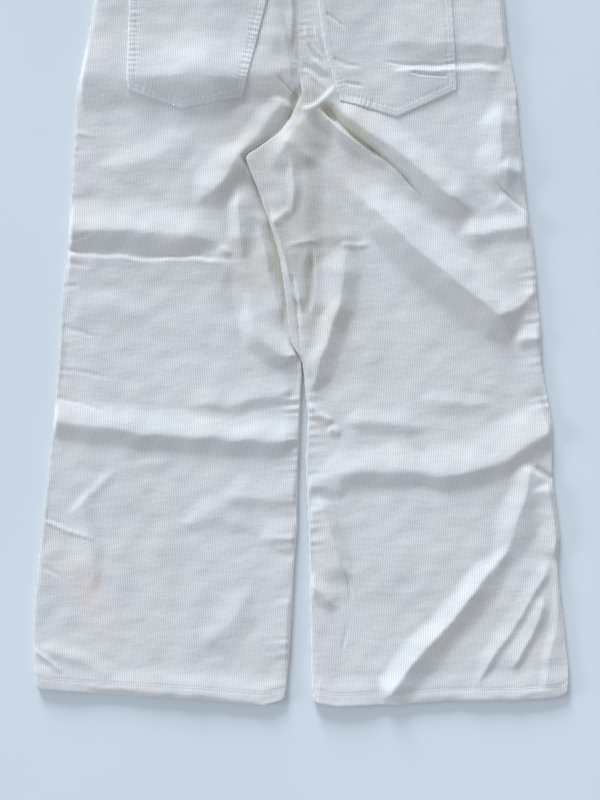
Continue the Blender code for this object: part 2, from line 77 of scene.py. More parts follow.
WAIST_Y = 432.0
WAIST_TOP_Y = 467.8
BAND_TAPER = 4.0
BAND_LOW = WAIST_Y + GAP
BAND_ROW = 2.6  # from its rims to its rows of stitches, which pull it in and lie a little deep
BAND_ROWS = (BAND_ROW, WAIST_TOP_Y - BAND_LOW - BAND_ROW)
BAND_PINCH = 0.35
BAND_SINK = 0.3
BAND_RIPPLE = 0.18  # how uneven it is, and what makes its two sides uneven in different ways
RIPPLE_SHIFT = 40.0
BAND_WEAR_REACH = 1.5
BAND_POINTS = 120  # along each of its sides, and round each of its ends
BAND_TURN = 9
# The band's rim: how far up from its lower edge and down from its upper one, and inset from its outer side
BAND_FOOT = ((6.0, BAND_CLOTH), (0.4, BAND_CLOTH), (0.0, BAND_CLOTH / 2.0), (0.25, 0.45))
BAND_HEAD = ((0.2, 0.45), (0.0, BAND_CLOTH / 2.0), (0.4, BAND_CLOTH), (9.0, BAND_CLOTH))
TUCK = 3.0  # how far the panels go in under the waistband, and where the front ones rise to it
TUCK_START = 1.0
TUCK_RAMP = 1.5
HEM_Y = -462.0
HEM_BAND = 13.0  # from the hem's edge to its row of stitches
HEM_BLEND_Y = -350.0  # the rows below bend to the hem's line
HEM_SLOPE = 22.0  # length over which the hem gets thick and its corners turn
HEM_SIDES = (-300.0, -18.0, 14.0, 301.5)  # X of the hems' corners
HEM_CORNER = 6.0  # and how far they are rounded
HEM_INSET = 2.2  # how much narrower the turned-in part is at each side
HEM_ROLL = 5  # rows round the hem's edge

# Corduroy
PITCH = 2.54  # from wale to wale
WALE_POINTS = (0.0, 0.5)  # a groove and the top of a wale, as shares of the pitch
GROOVE = 0.26  # depth between two wales
BAND_GROOVE = 0.9 * GROOVE
LEFT_SLANT = -math.tan(math.radians(3.5))  # how X changes with Y along a wale
RIGHT_SLANT = math.tan(math.radians(4.0))
STRIP_SLANT = -math.tan(math.radians(25.0))
GROOVE_START = 0.4  # keeps the grooves off the outer part of a rounded edge
MARGIN = 0.12  # a column nearer than this to an outline merges with it

# Steps between the rows of points
BACK_STEP = 2.4
FRONT_STEP = 9.0
STRIP_STEP = 1.7
POCKET_STEP = 1.5

# Relief
EDGE_FADE = 5.0  # folds are at full height this far in from an edge, and this far from the flap
COVER_FADE = 4.5
PUCKER_FADE = 2.5  # and puckers this far from a seam
WARP = 2.2  # how far the folds wander from their lines, and how far they do over short lengths
QUIVER = 1.4
SWELL = 0.75  # height of the broad unevenness
RUFFLE = 0.26  # and of the finer one
RUFFLE_ACROSS = 0.65  # the finer one is longer across the leg than down it
FOLD_END = 0.4  # how much of its width a fold keeps at its ends
PUCKER_DRIFT = 3.0  # how unevenly a row of puckers is spaced, and how much its waves lean
PUCKER_LEAN = 0.05
PUCKER_MEAN = 0.6  # their usual share of full height, how much it varies, and the most
PUCKER_SPREAD = 0.9
PUCKER_MOST = 1.8
PUCKER_ENDS = 12.0  # how far a row of puckers takes to rise at its ends
DEEPEST = 1.1  # how far the relief goes below the flat cloth, and how far a narrow crease does
LOWEST = 3.2
EDGE_ROUND = 1.2  # how far in a folded edge is rounded, and how far down
EDGE_DROP = 0.6
EDGE_BULGE = 0.35  # how far it bulges, and how far on the inside of the legs
INNER_BULGE = 0.7
BULGE_CLIMB = (-60.0, -100.0)  # Y between which the inside's bulge grows
NARROW = 21.0  # shade is painted in creases narrower than this
DEEP_CREASE = 3.0  # and fully so at this depth
HEM_WEAR = 0.7  # how worn the hem's edge is, and how far up
HEM_WEAR_REACH = 4.0
OUTLINE_EASE = 2.5  # half the length over which an outline is averaged
OUTLINE_WOBBLE = 0.35  # how uneven it is, and what makes a leg's two edges uneven in different ways
WOBBLE_SHIFT = 400.0

# Stitches
STITCH_PITCH = 3.1
STITCH_LENGTH = 2.3
THREAD_R = 0.27
PINCH = 0.45  # how deep a row of stitches pulls the cloth in
PINCH_WIDTH = 0.8
HEM_PINCH = (0.5, 1.1)  # depth and width at the hem, at the hem's underside and at the centre seam
UNDER_PINCH = (0.3, 1.1)
SEAM_PINCH = (0.9, 1.3)
STITCH_DIP = 0.1  # how much a stitch bends down to its ends, and how high its middle lies
STITCH_LIFT = 0.12
ROW_NEAR = 3.0  # the two rows of stitches round a pocket, from its edge
ROW_FAR = 9.0
MOUTH_ROW = 14.0  # the row below the mouth
MOUTH_ROW_END = 2.0  # how far rows of stitches stop short of an edge
HEM_ROW_END = 3.0
HEM_ROW_POINTS = 12
BAND_ROW_END = 4.0
SEAM_ROW = 4.0  # the row beside the centre seam, and where it stops below the waist and above the flap
SEAM_ROW_TOP = 4.0
SEAM_ROW_LOW = 8.0
SEAM_ROW_POINTS = 8
FLY_ROWS = ((38.0, 262.0), (32.0, 268.0))  # reach and lowest Y of the rows beside the front's closure
FLY_TURN = (0.2, 1.45, 7)  # radians between which such a row curves, and the points on its curve
FLY_START = 1.5  # X near its lower end, and how much narrower it is than a round one
FLY_SQUEEZE = 0.97

# Pockets and button
POCKET_RISE = 1.7
POCKET_R = 1.0  # how far in its edge is rounded
POCKET_LIFT = 0.1  # the gap under a pocket
POCKET_PUCKER = (5.6, 0.24, 6.5)  # pitch, height and reach of the waves across the double stitching
POCKET_PUCKER_FADE = 2.0
POCKET_WEAR_REACH = 2.0  # how far in its edge is worn, and how worn its outer row of stitches is
ROW_WEAR = 0.5
BUTTON_THICK = 2.5
BUTTON_X = -4.0
BUTTON_PITCH = 1.9  # half the length of a thread across it
BUTTON_FACE = 0.42  # Z of the thread on the button's face
THREAD_ASIDE = 0.28  # half the distance between two threads side by side
BUMP_FLAT = 10.5  # how far from the button's middle the waistband lies flat on it, and reaches the floor
BUMP_FOOT = 30.0

# The photograph: its frame in pixels, the real size of one, and the pixel at X = Y = 0
FRAME_W, FRAME_H = 600, 800
PIXEL = 1.13
ORIGIN_PX = (301.0, 292.0)
CAMERA_HEIGHT = 1.4  # metres above the cloth, whose usual level is next
CLOTH_LEVEL = 4.5
FLOOR_HALF = 4.0  # metres
FLOOR_DROP = 0.4  # how far the floor lies under the cloth


def table(kind, *rows):
    """A table whose rows have the columns of kind."""
    return tuple(kind(*row) for row in rows)


# The legs' outer and inner edges in X, down the garment
Station = namedtuple("Station", "y left_out left_in right_in right_out")
STATIONS = table(
    Station,
    (432, -207, -3.4, -3.4, 205),
    (398, -218, -4.0, -4.0, 215),
    (364, -227, -4.0, -4.0, 224),
    (330, -234, -4.0, -4.0, 229),
    (303, -238, -4.0, -4.0, 231),
    (280, -243, -3.4, -3.4, 233),
    (258, -247, -2.8, -2.8, 238),
    (240, -251, -1.5, -1.5, 241),
    (222, -254, 1.1, 1.1, 244),
    (212, -254, 0.0, -4.5, 244),
    (197, -254, 0.0, -11.9, 245),
    (181, -255, 0.0, -23.7, 246),
    (163, -256, 0.0, -47.5, 248),
    (153, -257, 0.0, -63.3, 249),
    (140, -258, 0.0, -58.8, 251),
    (122, -258, 0.0, -50.8, 253),
    (104, -260, 0.0, -44.1, 254),
    (81, -262, 0.0, -36.2, 258),
    (59, -263, 0.0, -29.4, 261),
    (36, -265, 0.0, -23.7, 263),
    (14, -268, 0.0, -19.8, 266),
    (-9, -270, 0.0, -16.4, 267),
    (-32, -271, -0.6, -14.1, 270),
    (-50, -272, -1.1, -11.9, 271),
    (-62, -273, 0.4, -8.5, 271),
    (-70, -273, 0.4, -3.0, 271),
    (-80, -273, 0.4, 2.0, 272),
    (-99, -275, 0.3, 4.3, 275),
    (-122, -278, -0.8, 6.0, 279),
    (-145, -280, -1.6, 8.6, 283),
    (-167, -281, -2.4, 7.3, 284),
    (-190, -284, -3.2, 5.9, 284),
    (-212, -286, -3.9, 6.8, 285),
    (-235, -289, -4.5, 7.9, 287),
    (-260, -292, -4.5, 9.0, 290),
    (-276, -292, -5.6, 9.6, 293),
    (-301, -296, -7.7, 10.2, 290),
    (-325, -298, -8.7, 10.7, 291),
    (-353, -301, -10.2, 11.1, 294),
    (-375, -302, -11.9, 11.5, 297),
    (-398, -302, -12.4, 12.0, 299),
    (-425, -302, -14.7, 12.7, 302),
    (-449, -301, -16.9, 13.6, 302),
    (-462, -299, -18.5, 14.5, 301),
)

# How wide the right front panel shows on top of the inseam, and how deep the seam beside it gapes
Strip = namedtuple("Strip", "y width gape")
STRIP = table(
    Strip,
    (131, 0.0, 0.6),
    (113, 1.7, 0.8),
    (104, 4.5, 0.8),
    (81, 6.5, 0.9),
    (59, 8.0, 0.9),
    (36, 9.0, 1.2),
    (14, 10.5, 2.4),
    (-9, 11.5, 3.4),
    (-32, 10.5, 1.6),
    (-50, 9.5, 0.8),
    (-62, 7.0, 0.6),
    (-80, 0.0, 0.3),
)
STRIP_TOP = 131.0
STRIP_END = -80.0
STRIP_START = 1.5  # the width at which the seam beside the strip is at full depth
GAPE_WIDTH = 1.0  # the width of a shallow gape, and how much wider it gets with its depth
GAPE_SPREAD = 0.5
STRIP_TILE = (0.96, 1.0)  # the shares of the front panel's map that the strip and the rest of it fill
FRONT_TILE = (0.0, 0.95)
MAP_ROOM = 1.0  # beside a piece on its map, for its folded edges

Point = namedtuple("Point", "x y")

# Left edge of the hidden part of the right front panel, under the flap
HIDDEN_FRONT = table(Point, (1.1, 222), (1.1, 163), (-10, 153), (-40, 140), (-44, 131))

# Where the left back panel lies low, because the flap covers it
COVER_TOP = table(Point, (24, 256), (4, 240), (-7, 222), (-9, 212))
COVER_BEYOND = 1.5  # how far before the flap's edge that begins
COVER_END = -80.0

# The hems' lower edges
HEM_LINE = table(
    Point,
    (-302, -446), (-290, -449), (-227, -454), (-114, -460), (-41, -467), (-20, -461), (14, -463),
    (40, -468), (112, -466), (168, -462), (247, -461), (290, -458), (302, -453),
)

# A fold is a ridge from (x0, y0) to (x1, y1), bowed to its left. left and right are the widths of its two
# flanks, seen along its run. fade0 and fade1 are the shares of its run over which its two ends rise.
# crest is 0 for a sharp crest and 2 for a round one. foot is 1 where the right flank ends in a sharp crease.
# A fold of negative height is a crease.
Fold = namedtuple("Fold", "x0 y0 x1 y1 bow height left right fade0 fade1 crest foot", defaults=(1.2, 0.0))
LEFT_FOLDS = table(
    Fold,
    # Seat
    (-256, 246, -62, 243, -1, 4.8, 90, 48, 0.06, 0.25, 1.6),
    (-262, 392, -6, 392, 0, 4.5, 34, 150, 0.15, 0.1, 1.6),
    (-207, 246, -37, 243, 0, 6.8, 52, 48, 0.6, 0.3, 1.8),
    (-85, 240, -3, 257, -3, 5.0, 75, 40, 0.4, 0.12, 1.5),
    (-10, 348, -10, 262, 0, 3.4, 4, 56, 0.2, 0.35, 1.6),
    (-238, 142, -112, 192, -16, 2.2, 22, 30, 0.3, 0.3, 1.6),
    # Crotch
    (-18, 218, -75, 149, 2, 4.5, 26, 18, 0.1, 0.3, 1.4),
    (-58, 169, -118, 95, 2, 7.0, 26, 29, 0.3, 0.3, 1.4),
    (-71, 124, -69, 34, 0, 5.2, 26, 16, 0.3, 0.35, 1.4),
    # Thigh: a ridge with a sharp valley below it
    (-266, 71, -86, 57, 4, 7.2, 38, 25, 0.04, 0.25, 1.3, 0.6),
    (-266, 44.5, -84, 38, 0, -1.3, 5, 4, 0.05, 0.2, 0),
    (-268, 39, -55, 33, 0, 2.6, 5, 38, 0.03, 0.3, 0.5),
    (-94, 54, -80, 40, 0, 1.8, 9, 9, 0.4, 0.4),
    (-263, -16, -154, -23, 0, 1.4, 22, 24, 0.15, 0.4, 1.6),
    # Inside of the leg
    (-66, 0, 0, -79, -16, 6.5, 24, 22, 0.5, 0.1, 1.8),
    (-46, 80, -22, -42, 0, 4.0, 12, 26, 0.3, 0.2, 0.8),
    # Knee
    (-142, -127, -6, -108, -8, 2.4, 24, 16, 0.3, 0.1),
    (-290, -145, 1, -169, -5, 6.8, 32, 21, 0.02, 0.08, 1.6),
    # Calf
    (-263, -252, -206, -198, 0, 1.2, 9, 11, 0.3, 0.3, 0.8),
    (-209, -199, -139, -194, 0, 0.9, 9, 14, 0.2, 0.3),
    (-292, -259, -214, -284, -2, 1.5, 4, 4, 0.02, 0.5, 0),
    (-291, -257, -258, -264, 0, -1.0, 4, 3, 0.05, 0.4, 0),
    (-250, -226, -236, -339, 4, 2.0, 18, 26, 0.2, 0.3, 1.6),
    (-137, -267, -44, -228, 3, 1.1, 20, 24, 0.3, 0.3, 1.4),
    (-140, -262, -55, -268, 6, 1.0, 18, 14, 0.3, 0.3, 1.6),
    (-97, -231, -1, -232, 0, 2.2, 29, 18, 0.4, 0.05),
    (-52, -281, -1, -280, 0, 2.2, 23, 16, 0.4, 0.05),
    # Shin and hem
    (-10, -337, -13, -425, 0, 2.0, 7, 30, 0.25, 0.3, 1.6),
    (-111, -410, -55, -339, 0, 2.4, 30, 30, 0.3, 0.3, 1.6),
    (-298, -408, -205, -440, 0, 1.8, 20, 16, 0.15, 0.3, 1.6),
    (-304, -411, -270, -443, 0, 2.0, 6, 7, 0.02, 0.3, 0.3),
    (-250, -455, -24, -461, 0, 2.0, 36, 6, 0.15, 0.1, 0.8),
    # Small creases at the side seam
    (-265, 55, -228, 69, 0, -1.2, 4, 4, 0.05, 0.4, 0),
    (-254, 180, -231, 175, 0, 0.8, 4, 4, 0.05, 0.4, 0),
    (-266, 33, -236, 27, 0, -0.9, 5, 5, 0.05, 0.4, 0),
    (-269, 8, -248, 9, 0, -1.1, 3, 5, 0.05, 0.4, 0),
    (-272, -38, -225, -51, 0, -0.9, 5, 5, 0.05, 0.4, 0),
    (-267, -55, -262, -87, 0, -0.9, 8, 8, 0.3, 0.3, 0),
    (-273, -88, -208, -98, 0, -1.0, 4, 4, 0.03, 0.4, 0),
    (-277, -119, -214, -136, 0, -1.1, 4, 5, 0.03, 0.4, 0),
    (-294, -309, -270, -325, 0, -0.9, 5, 5, 0.05, 0.4, 0),
)
# Creases beside the flap, which run on under it
LEFT_TUCKS = table(
    Fold,
    (-3, 229, -13, 186, 0, -3.0, 7, 9, 0.2, 0.3),
    (-27, 244, -5, 221, 0, -1.6, 3.5, 3, 0.2, 0.1, 0),
    (-54, 138, -38, 78, 0, -3.4, 6, 18, 0.3, 0.3),
    (-41, 100, -8, -43, 0.5, -2.6, 4, 14, 0.2, 0.3),
    (-78, 36, -66, -52, -5, -1.8, 24, 16, 0.4, 0.4),
    (0, -78, -8, -240, 0, 1.3, 4, 22, 0.3, 0.4, 1.5),
)
RIGHT_FOLDS = table(
    Fold,
    # Crotch and waist
    (-6, 205, 40, 236, -8, 3.4, 5, 32, 0.2, 0.25, 1.2),
    (6, 392, 262, 392, 0, 4.5, 34, 150, 0.1, 0.15, 1.6),
    # The hip fold, and the pleat below it
    (27, 217, 197, 86, 2, 10.0, 32, 29, 0.22, 0.18, 1.4),
    (17, 206, 101, 144, -1.5, 3.8, 5, 16, 0.22, 0.2, 0.3),
    (86, 154, 146, 92, 5, 2.6, 4, 20, 0.25, 0.4, 0.3),
    # Thigh
    (33, 138, 248, -48, -3, 14.0, 42, 32, 0.4, 0.12, 1.3),
    (-15, 50, 27, 53, 6, 1.3, 3, 6, 0.25, 0.3, 0.3),
    (42, 51, 82, 56, 0, 1.6, 5, 8, 0.15, 0.4, 0.5),
    (-1, 60, 70, 62, 0, 1.4, 18, 14, 0.3, 0.3, 1.6),
    # Inside of the leg
    (53, 58, 39, -40, 0, 6.5, 22, 34, 0.4, 0.25, 1.5),
    (45, -2, 12, -117, 0, 6.0, 20, 21, 0.3, 0.25, 1.4),
    # The flap and its seam
    (-36, 97, 1, -26, 2, 5.5, 20, 6, 0.2, 0.15, 1.0),
    (-14, 149, -13, 84, 5, 3.0, 11, 11, 0.3, 0.3, 1.0),
    (-33, 75, -12, 96, 0, 2.4, 9, 12, 0.3, 0.3, 1.0),
    (-40, 136, 12, 204, 0, 3.6, 20, 44, 0.3, 0.3, 1.4),
    (-30, 173, 20, 141, 4, 2.2, 18, 16, 0.3, 0.3, 0.8),
    # Hip and side
    (226, 215, 222, 110, 0, 7.0, 26, 30, 0.3, 0.3, 1.4),
    (220, 142, 264, 136, 0, 4.5, 16, 30, 0.3, 0.05),
    (217, 131, 257, 88, 0, -1.3, 8, 4, 0.15, 0.1, 0),
    (223, 118, 268, 68, 0, 2.8, 7, 23, 0.2, 0.05),
    (174, 58, 266, 72, 3, 4.0, 24, 22, 0.25, 0.05),
    (225, -29, 271, 2, 0, 2.6, 16, 12, 0.2, 0.05, 0.8),
    (238, -52, 276, -49, 0, 3.2, 16, 16, 0.3, 0.05),
    # Knee
    (3, -216, 157, -205, 9, 5.8, 32, 23, 0.35, 0.2, 1.6),
    (128, -211, 287, -153, -12, 7.2, 42, 22, 0.2, 0.05, 1.6),
    (46, -146, 148, -149, 0, 2.6, 18, 16, 0.2, 0.3),
    (3, -123, 40, -151, 0, 2.2, 7, 11, 0.05, 0.2),
    (28, -158, 48, -160, 0, 2.0, 8, 9, 0.35, 0.35),
    (123, -124, 225, -127, 0, 1.8, 14, 16, 0.3, 0.3),
    # Shin
    (94, -457, 240, -284, 0, 7.5, 22, 28, 0.06, 0.3, 1.0),
    (212, -332, 264, -190, -5, 5.2, 24, 30, 0.5, 0.1, 1.2),
    (197, -444, 284, -303, -2, 2.6, 16, 10, 0.15, 0.15, 0.8),
    (236, -430, 276, -345, -4, 3.4, 24, 11, 0.2, 0.15, 0.8),
    (276, -457, 297, -320, 0, 2.0, 11, 24, 0.15, 0.1),
    (280, -215, 292, -308, 0, 4.5, 9, 24, 0.1, 0.2),
    (6, -219, 55, -226, 0, 2.5, 16, 14, 0.05, 0.3),
    (6, -323, 42, -362, 0, 4.6, 14, 12, 0.05, 0.4),
    (19, -229, 53, -337, 2, 4.6, 12, 28, 0.15, 0.3),
    (47, -314, 46, -414, 6, -1.3, 3.5, 3.5, 0.1, 0.3, 0),
    # Hem
    (14, -460, 100, -461, 0, 2.2, 36, 6, 0.08, 0.4, 0.8),
    (90, -459, 298, -456, 0, 1.0, 14, 6, 0.1, 0.1, 0.8),
    # Pocket
    (89, 281, 232, 279, 0, 3.2, 60, 24, 0.2, 0.05, 1.0),
    (94, 252, 228, 250, 0, 2.6, 6, 44, 0.2, 0.15, 0.8),
    (88, 259, 232, 258, 0, -1.0, 4, 3, 0.1, 0.1, 0),
    # Seat, beside the centre seam
    (1, 261, 32, 239, 0, -3.2, 5, 3.5, 0.1, 0.3, 0.3, 0.5),
    (4, 254, 31, 226, 0, 1.3, 4, 5, 0.1, 0.3, 0),
    (8, 268, 36, 244, 0, 2.0, 9, 4, 0.3, 0.3, 0.8),
    (15, 303, 27, 268, 0, 1.3, 4, 4, 0.2, 0.3, 0.5),
    (3, 303, 27, 262, -3, 1.8, 5, 4, 0.2, 0.3, 0.5),
    (8, 285, 19, 261, 0, -1.2, 4, 4, 0.2, 0.3, 0),
    (2, 251, 8, 217, 0, -1.0, 5, 5, 0.2, 0.2, 0),
    # Small creases on the pocket
    (35, 265, 70, 253, 0, -1.4, 4, 5, 0.1, 0.4, 0),
    (48, 239, 75, 231, 0, -1.4, 4, 4, 0.2, 0.4, 0),
    (26, 314, 52, 293, 0, -1.0, 4, 4, 0.1, 0.4, 0),
    (116, 250, 166, 243, 0, -1.8, 4, 3, 0.3, 0.1, 0),
)

# Deep narrow creases that go lower than the rest of the right leg
RIGHT_TUCKS = table(
    Fold,
    # Crotch
    (38, 196, 24, 140, 0, -1.6, 14, 40, 0.4, 0.4),
    # Pleat
    (26, 211, 101, 145, -3, -5.5, 13, 6, 0.1, 0.3, 0.3, 0.7),
    (21, 211, 42, 190, 0, -3.0, 13, 5, 0.25, 0.35, 0.5),
    (70, 168, 143, 95, 6.5, -4.2, 7, 3.5, 0.2, 0.4, 0.3, 0.6),
    # Seam and side
    (13, 52, 9, -28, 0, -3.6, 7, 13, 0.35, 0.35),
    (262, -196, 286, -212, 0, -2.6, 9, 8, 0.25, 0.1, 0.3),
)

# Shallow creases of the underside
FRONT_FOLDS = table(
    Fold,
    # Left leg
    (-200, 300, -60, 270, 6, 1.0, 14, 22, 0.3, 0.3),
    (-20, 200, -170, 150, 5, 1.2, 12, 20, 0.2, 0.3),
    (-270, -110, -90, -130, -6, 1.3, 18, 14, 0.2, 0.3),
    (-110, -230, -30, -260, 0, 0.9, 12, 16, 0.3, 0.3),
    # Right leg
    (60, 290, 210, 310, -6, 1.0, 20, 14, 0.3, 0.3),
    (50, 190, 190, 120, 5, 1.2, 16, 14, 0.2, 0.3),
    (60, -140, 260, -120, 6, 1.3, 14, 18, 0.3, 0.2),
    (120, -330, 210, -250, 0, 0.9, 12, 14, 0.3, 0.3),
)

# A row of small waves along a seam from (x0, y0) to (x1, y1): their pitch and height, and how far they
# reach to each side of it
Pucker = namedtuple("Pucker", "x0 y0 x1 y1 pitch height reach")
LEFT_PUCKERS = table(
    Pucker,
    # Centre seam
    (-5, 425, -4, 240, 6.0, 0.25, 8),
    # Inside of the leg
    (-6, -62, -6, -210, 9.5, 0.9, 14),
    (-6, -200, -18, -440, 15.0, 0.4, 16),
    # Side seam
    (-258, 210, -290, -200, 13.0, 0.4, 14),
)
RIGHT_PUCKERS = table(
    Pucker,
    # Centre seam
    (5, 425, 4, 240, 7.0, 0.25, 8),
    # Side seam
    (240, 380, 248, 180, 12.0, 0.35, 10),
    (258, 60, 274, -140, 12.0, 0.4, 14),
    # Inside of the leg
    (10, -100, 12, -300, 12.0, 0.45, 12),
)

# Corners of the pockets, anticlockwise from the left end of the mouth
LEFT_POCKET = table(
    Point,
    (-193, 364), (-196.5, 238), (-194.5, 227.5), (-132, 207), (-65.5, 220), (-29, 364),
)
RIGHT_POCKET = table(
    Point,
    (13.6, 364), (27, 273.5), (44, 216), (109.6, 197.8), (176.3, 228.3), (168.4, 364),
)

# Colours, linear
CREAM = (0.79, 0.748, 0.692, 1.0)
# The ground in the grooves, darker partly by its own colour and partly as painted shade
GROOVE_GROUND_AND_SHADE = (0.64, 0.59, 0.52, 1.0)
WORN_CREAM = (0.85, 0.83, 0.81, 1.0)
STAIN = (1.10, 1.01, 0.96, 1.0)
# Painted shade in narrow creases
CREASE_SHADE = (0.88, 0.87, 0.795, 1.0)
WARM = (1.0, 0.98, 0.945, 1.0)
# Yellowish soil round the crotch, darkened further as painted shade
CENTRE_SOIL_AND_SHADE = (0.865, 0.84, 0.79, 1.0)
THREAD = (0.82, 0.78, 0.72, 1.0)
IVORY = (0.86, 0.82, 0.72, 1.0)
DARK_IVORY = (0.78, 0.72, 0.60, 1.0)
SHEEN = (1.0, 0.98, 0.95, 1.0)
FLOOR = (0.727, 0.733, 0.705, 1.0)
FLOOR_PALER = 1.04

# Soil and painted shade round the crotch, in metres: its middle, how far aside it fades out, and where it
# does so in Y
SOIL_AND_SHADE_X = -0.004
SOIL_AND_SHADE_ASIDE = (0.02, 0.11)
SOIL_AND_SHADE_BELOW = (-0.14, 0.12)
SOIL_AND_SHADE_ABOVE = (0.21, 0.27)
SOIL_AND_SHADE_AT_SEAT = 0.3  # how much of it is left above
# Stain on the left shin, in metres: its middle, its half width and length, and how it slants
STAIN_X, STAIN_Y = -0.241, -0.335
STAIN_WIDTH, STAIN_LENGTH = 0.028, 0.075
STAIN_SLANT = 0.4

# The sun lamps: where they stand, in the plane and in degrees above it, their strength and their size
Lamp = namedtuple("Lamp", "name toward elevation energy angle")
LAMPS = table(
    Lamp,
    ("key", (-0.24, 0.971), 15.0, 4.2, 18.0),
    ("side", (-0.99, 0.05), 15.0, 1.3, 14.0),
)
LAMP_COLOUR = (0.706, 0.826, 1.0)
SKY_COLOUR = (0.721, 0.829, 1.0)
SKY_STRENGTH = 0.645


def columns(*parts):
    return np.stack(parts, axis=1)


def joined(*parts):
    return np.concatenate(parts)


def smooth(t):
    """Rises from 0 to 1 as t does, with level ends."""
    t = np.clip(t, 0.0, 1.0)
    return t * t * (3.0 - 2.0 * t)


def climb(y, span):
    """0 above the first Y of span and 1 below the second."""
    return smooth((span[0] - y) / (span[0] - span[1]))


def read(rows, column, y):
    """A column of a table whose rows run down Y, read at any Y."""
    ys = [-row.y for row in rows]
    return np.interp(-np.asarray(y, float), ys, [getattr(row, column) for row in rows])


def rounded(gap, radius):
    """0 on an edge and 1 from radius inwards, along a quarter of a circle."""
    t = np.clip(1.0 - gap / radius, 0.0, 1.0)
    return np.sqrt(1.0 - t * t)


class Swell:
    """A smooth random surface of about unit height, from sine waves between two lengths."""

    COUNT = 18

    def __init__(self, seed, shortest, longest):
        draw = np.random.default_rng(seed)
        lengths = np.exp(draw.uniform(math.log(shortest), math.log(longest), self.COUNT))
        turns = draw.uniform(0.0, math.tau, self.COUNT)
        self.phases = draw.uniform(0.0, math.tau, self.COUNT)
        self.kx = math.tau / lengths * np.cos(turns)
        self.ky = math.tau / lengths * np.sin(turns)
        self.share = lengths / math.sqrt((lengths**2).sum() / 2.0)

    def __call__(self, x, y):
        total = np.zeros(np.broadcast(x, y).shape)
        for kx, ky, phase, share in zip(self.kx, self.ky, self.phases, self.share):
            total += share * np.sin(kx * x + ky * y + phase)
        return total / 2.0


# Each with its own seed, and with its shortest and longest wave
WANDER_X = Swell(11, 60.0, 160.0)
WANDER_Y = Swell(12, 60.0, 160.0)
BROAD = Swell(13, 45.0, 140.0)
FINE = Swell(14, 12.0, 34.0)
UNEVEN = Swell(15, 18.0, 60.0)
WOBBLE = Swell(16, 25.0, 90.0)

# The columns of STATIONS that the left and the right edge of each leg follow
LEFT_EDGES = ("left_out", "left_in")
RIGHT_EDGES = ("right_in", "right_out")


def outline(column, y):
    """A leg's edge at station y, eased round the stations and a little uneven."""
    y = np.asarray(y, float)
    eased = sum(read(STATIONS, column, y + step) for step in (-OUTLINE_EASE, 0.0, OUTLINE_EASE)) / 3.0
    shift = 0.0 if column.endswith("out") else WOBBLE_SHIFT
    return eased + OUTLINE_WOBBLE * WOBBLE(shift, y)


def outlines(edges, y):
    return [outline(column, y) for column in edges]


def inside(column, side, x, y):
    """How far a point lies inside an edge, square to it. side is 1 for an edge on its left."""
    slope = (outline(column, y + 1.0) - outline(column, y - 1.0)) / 2.0
    return side * (x - outline(column, y)) / np.hypot(1.0, slope)


def hem_line(x):
    return np.interp(x, [p.x for p in HEM_LINE], [p.y for p in HEM_LINE])


def corner_lift(x):
    """How far a hem rises to its rounded corners."""
    gap = np.min([np.abs(x - side) for side in HEM_SIDES], axis=0)
    inwards = np.clip(HEM_CORNER - gap, 0.0, HEM_CORNER)
    return HEM_CORNER - np.sqrt(HEM_CORNER**2 - inwards**2)


def bent_y(x, y):
    """The Y of a point at station y: the lowest stations bend to the hem's line."""
    share = smooth((HEM_BLEND_Y - y) / (HEM_BLEND_Y - HEM_Y))
    at_hem = smooth((HEM_Y + HEM_SLOPE - y) / HEM_SLOPE)
    return y + (hem_line(x) - HEM_Y) * share + corner_lift(x) * at_hem


def cloth_at(y):
    """A panel's thickness, with its hem turned up inside it."""
    return CLOTH + (HEM_CLOTH - CLOTH) * smooth((HEM_Y + HEM_BAND + HEM_SLOPE - y) / HEM_SLOPE)


def flat_top(y):
    """Upper side of the back panels where they lie flat."""
    return 2.0 * cloth_at(y) + LOFT


def ramp(x):
    """1 where a lap is at full height and 0 beyond it."""
    return smooth((RAMP_RIGHT - x) / (RAMP_RIGHT - RAMP_LEFT))


def lap_of_front(x, y):
    """How far the right front panel is lifted by the left leg under it."""
    return LAP_FRONT * climb(y, FLAP_CLIMB) * (1.0 - climb(y, DESCENT)) * ramp(x)


def lap_of_back(x, y):
    """How far the right back panel is lifted."""
    lift = LAP_SEAT * climb(y, SEAT_CLIMB) + LAP_BACK * climb(y, FLAP_CLIMB)
    return lift * (1.0 - climb(y, DESCENT)) * ramp(x)


def cover_line(y):
    """X of the line beyond which the flap covers the left leg."""
    top = read(COVER_TOP, "x", y)
    return np.where(y >= COVER_TOP[-1].y, top, outline("right_in", y) - COVER_BEYOND)


def along_and_aside(row, x, y):
    """The length of a row's run, and how far each point is along it and to its left."""
    run_x, run_y = row.x1 - row.x0, row.y1 - row.y0
    run = math.hypot(run_x, run_y)
    along = ((x - row.x0) * run_x + (y - row.y0) * run_y) / run
    aside = ((y - row.y0) * run_x - (x - row.x0) * run_y) / run
    return run, along, aside


def fold_height(folds, x, y):
    """How far the folds lift the cloth at each point."""
    total = np.zeros(np.broadcast(x, y).shape)
    for fold in folds:
        run, along, aside = along_and_aside(fold, x, y)
        share = along / run
        aside = aside - 4.0 * fold.bow * share * (1.0 - share)
        ends = smooth(share / fold.fade0) * smooth((1.0 - share) / fold.fade1)
        reach = np.where(aside > 0.0, fold.left, fold.right) * (FOLD_END + (1.0 - FOLD_END) * ends)
        u = np.minimum(np.abs(aside) / reach, 1.0)
        foot = fold.foot * (aside < 0.0)
        flank = (1.0 - foot) * (1.0 - u) ** 2 * (1.0 + fold.crest * u) + foot * (1.0 - u * u)
        total += fold.height * ends * flank
    return total


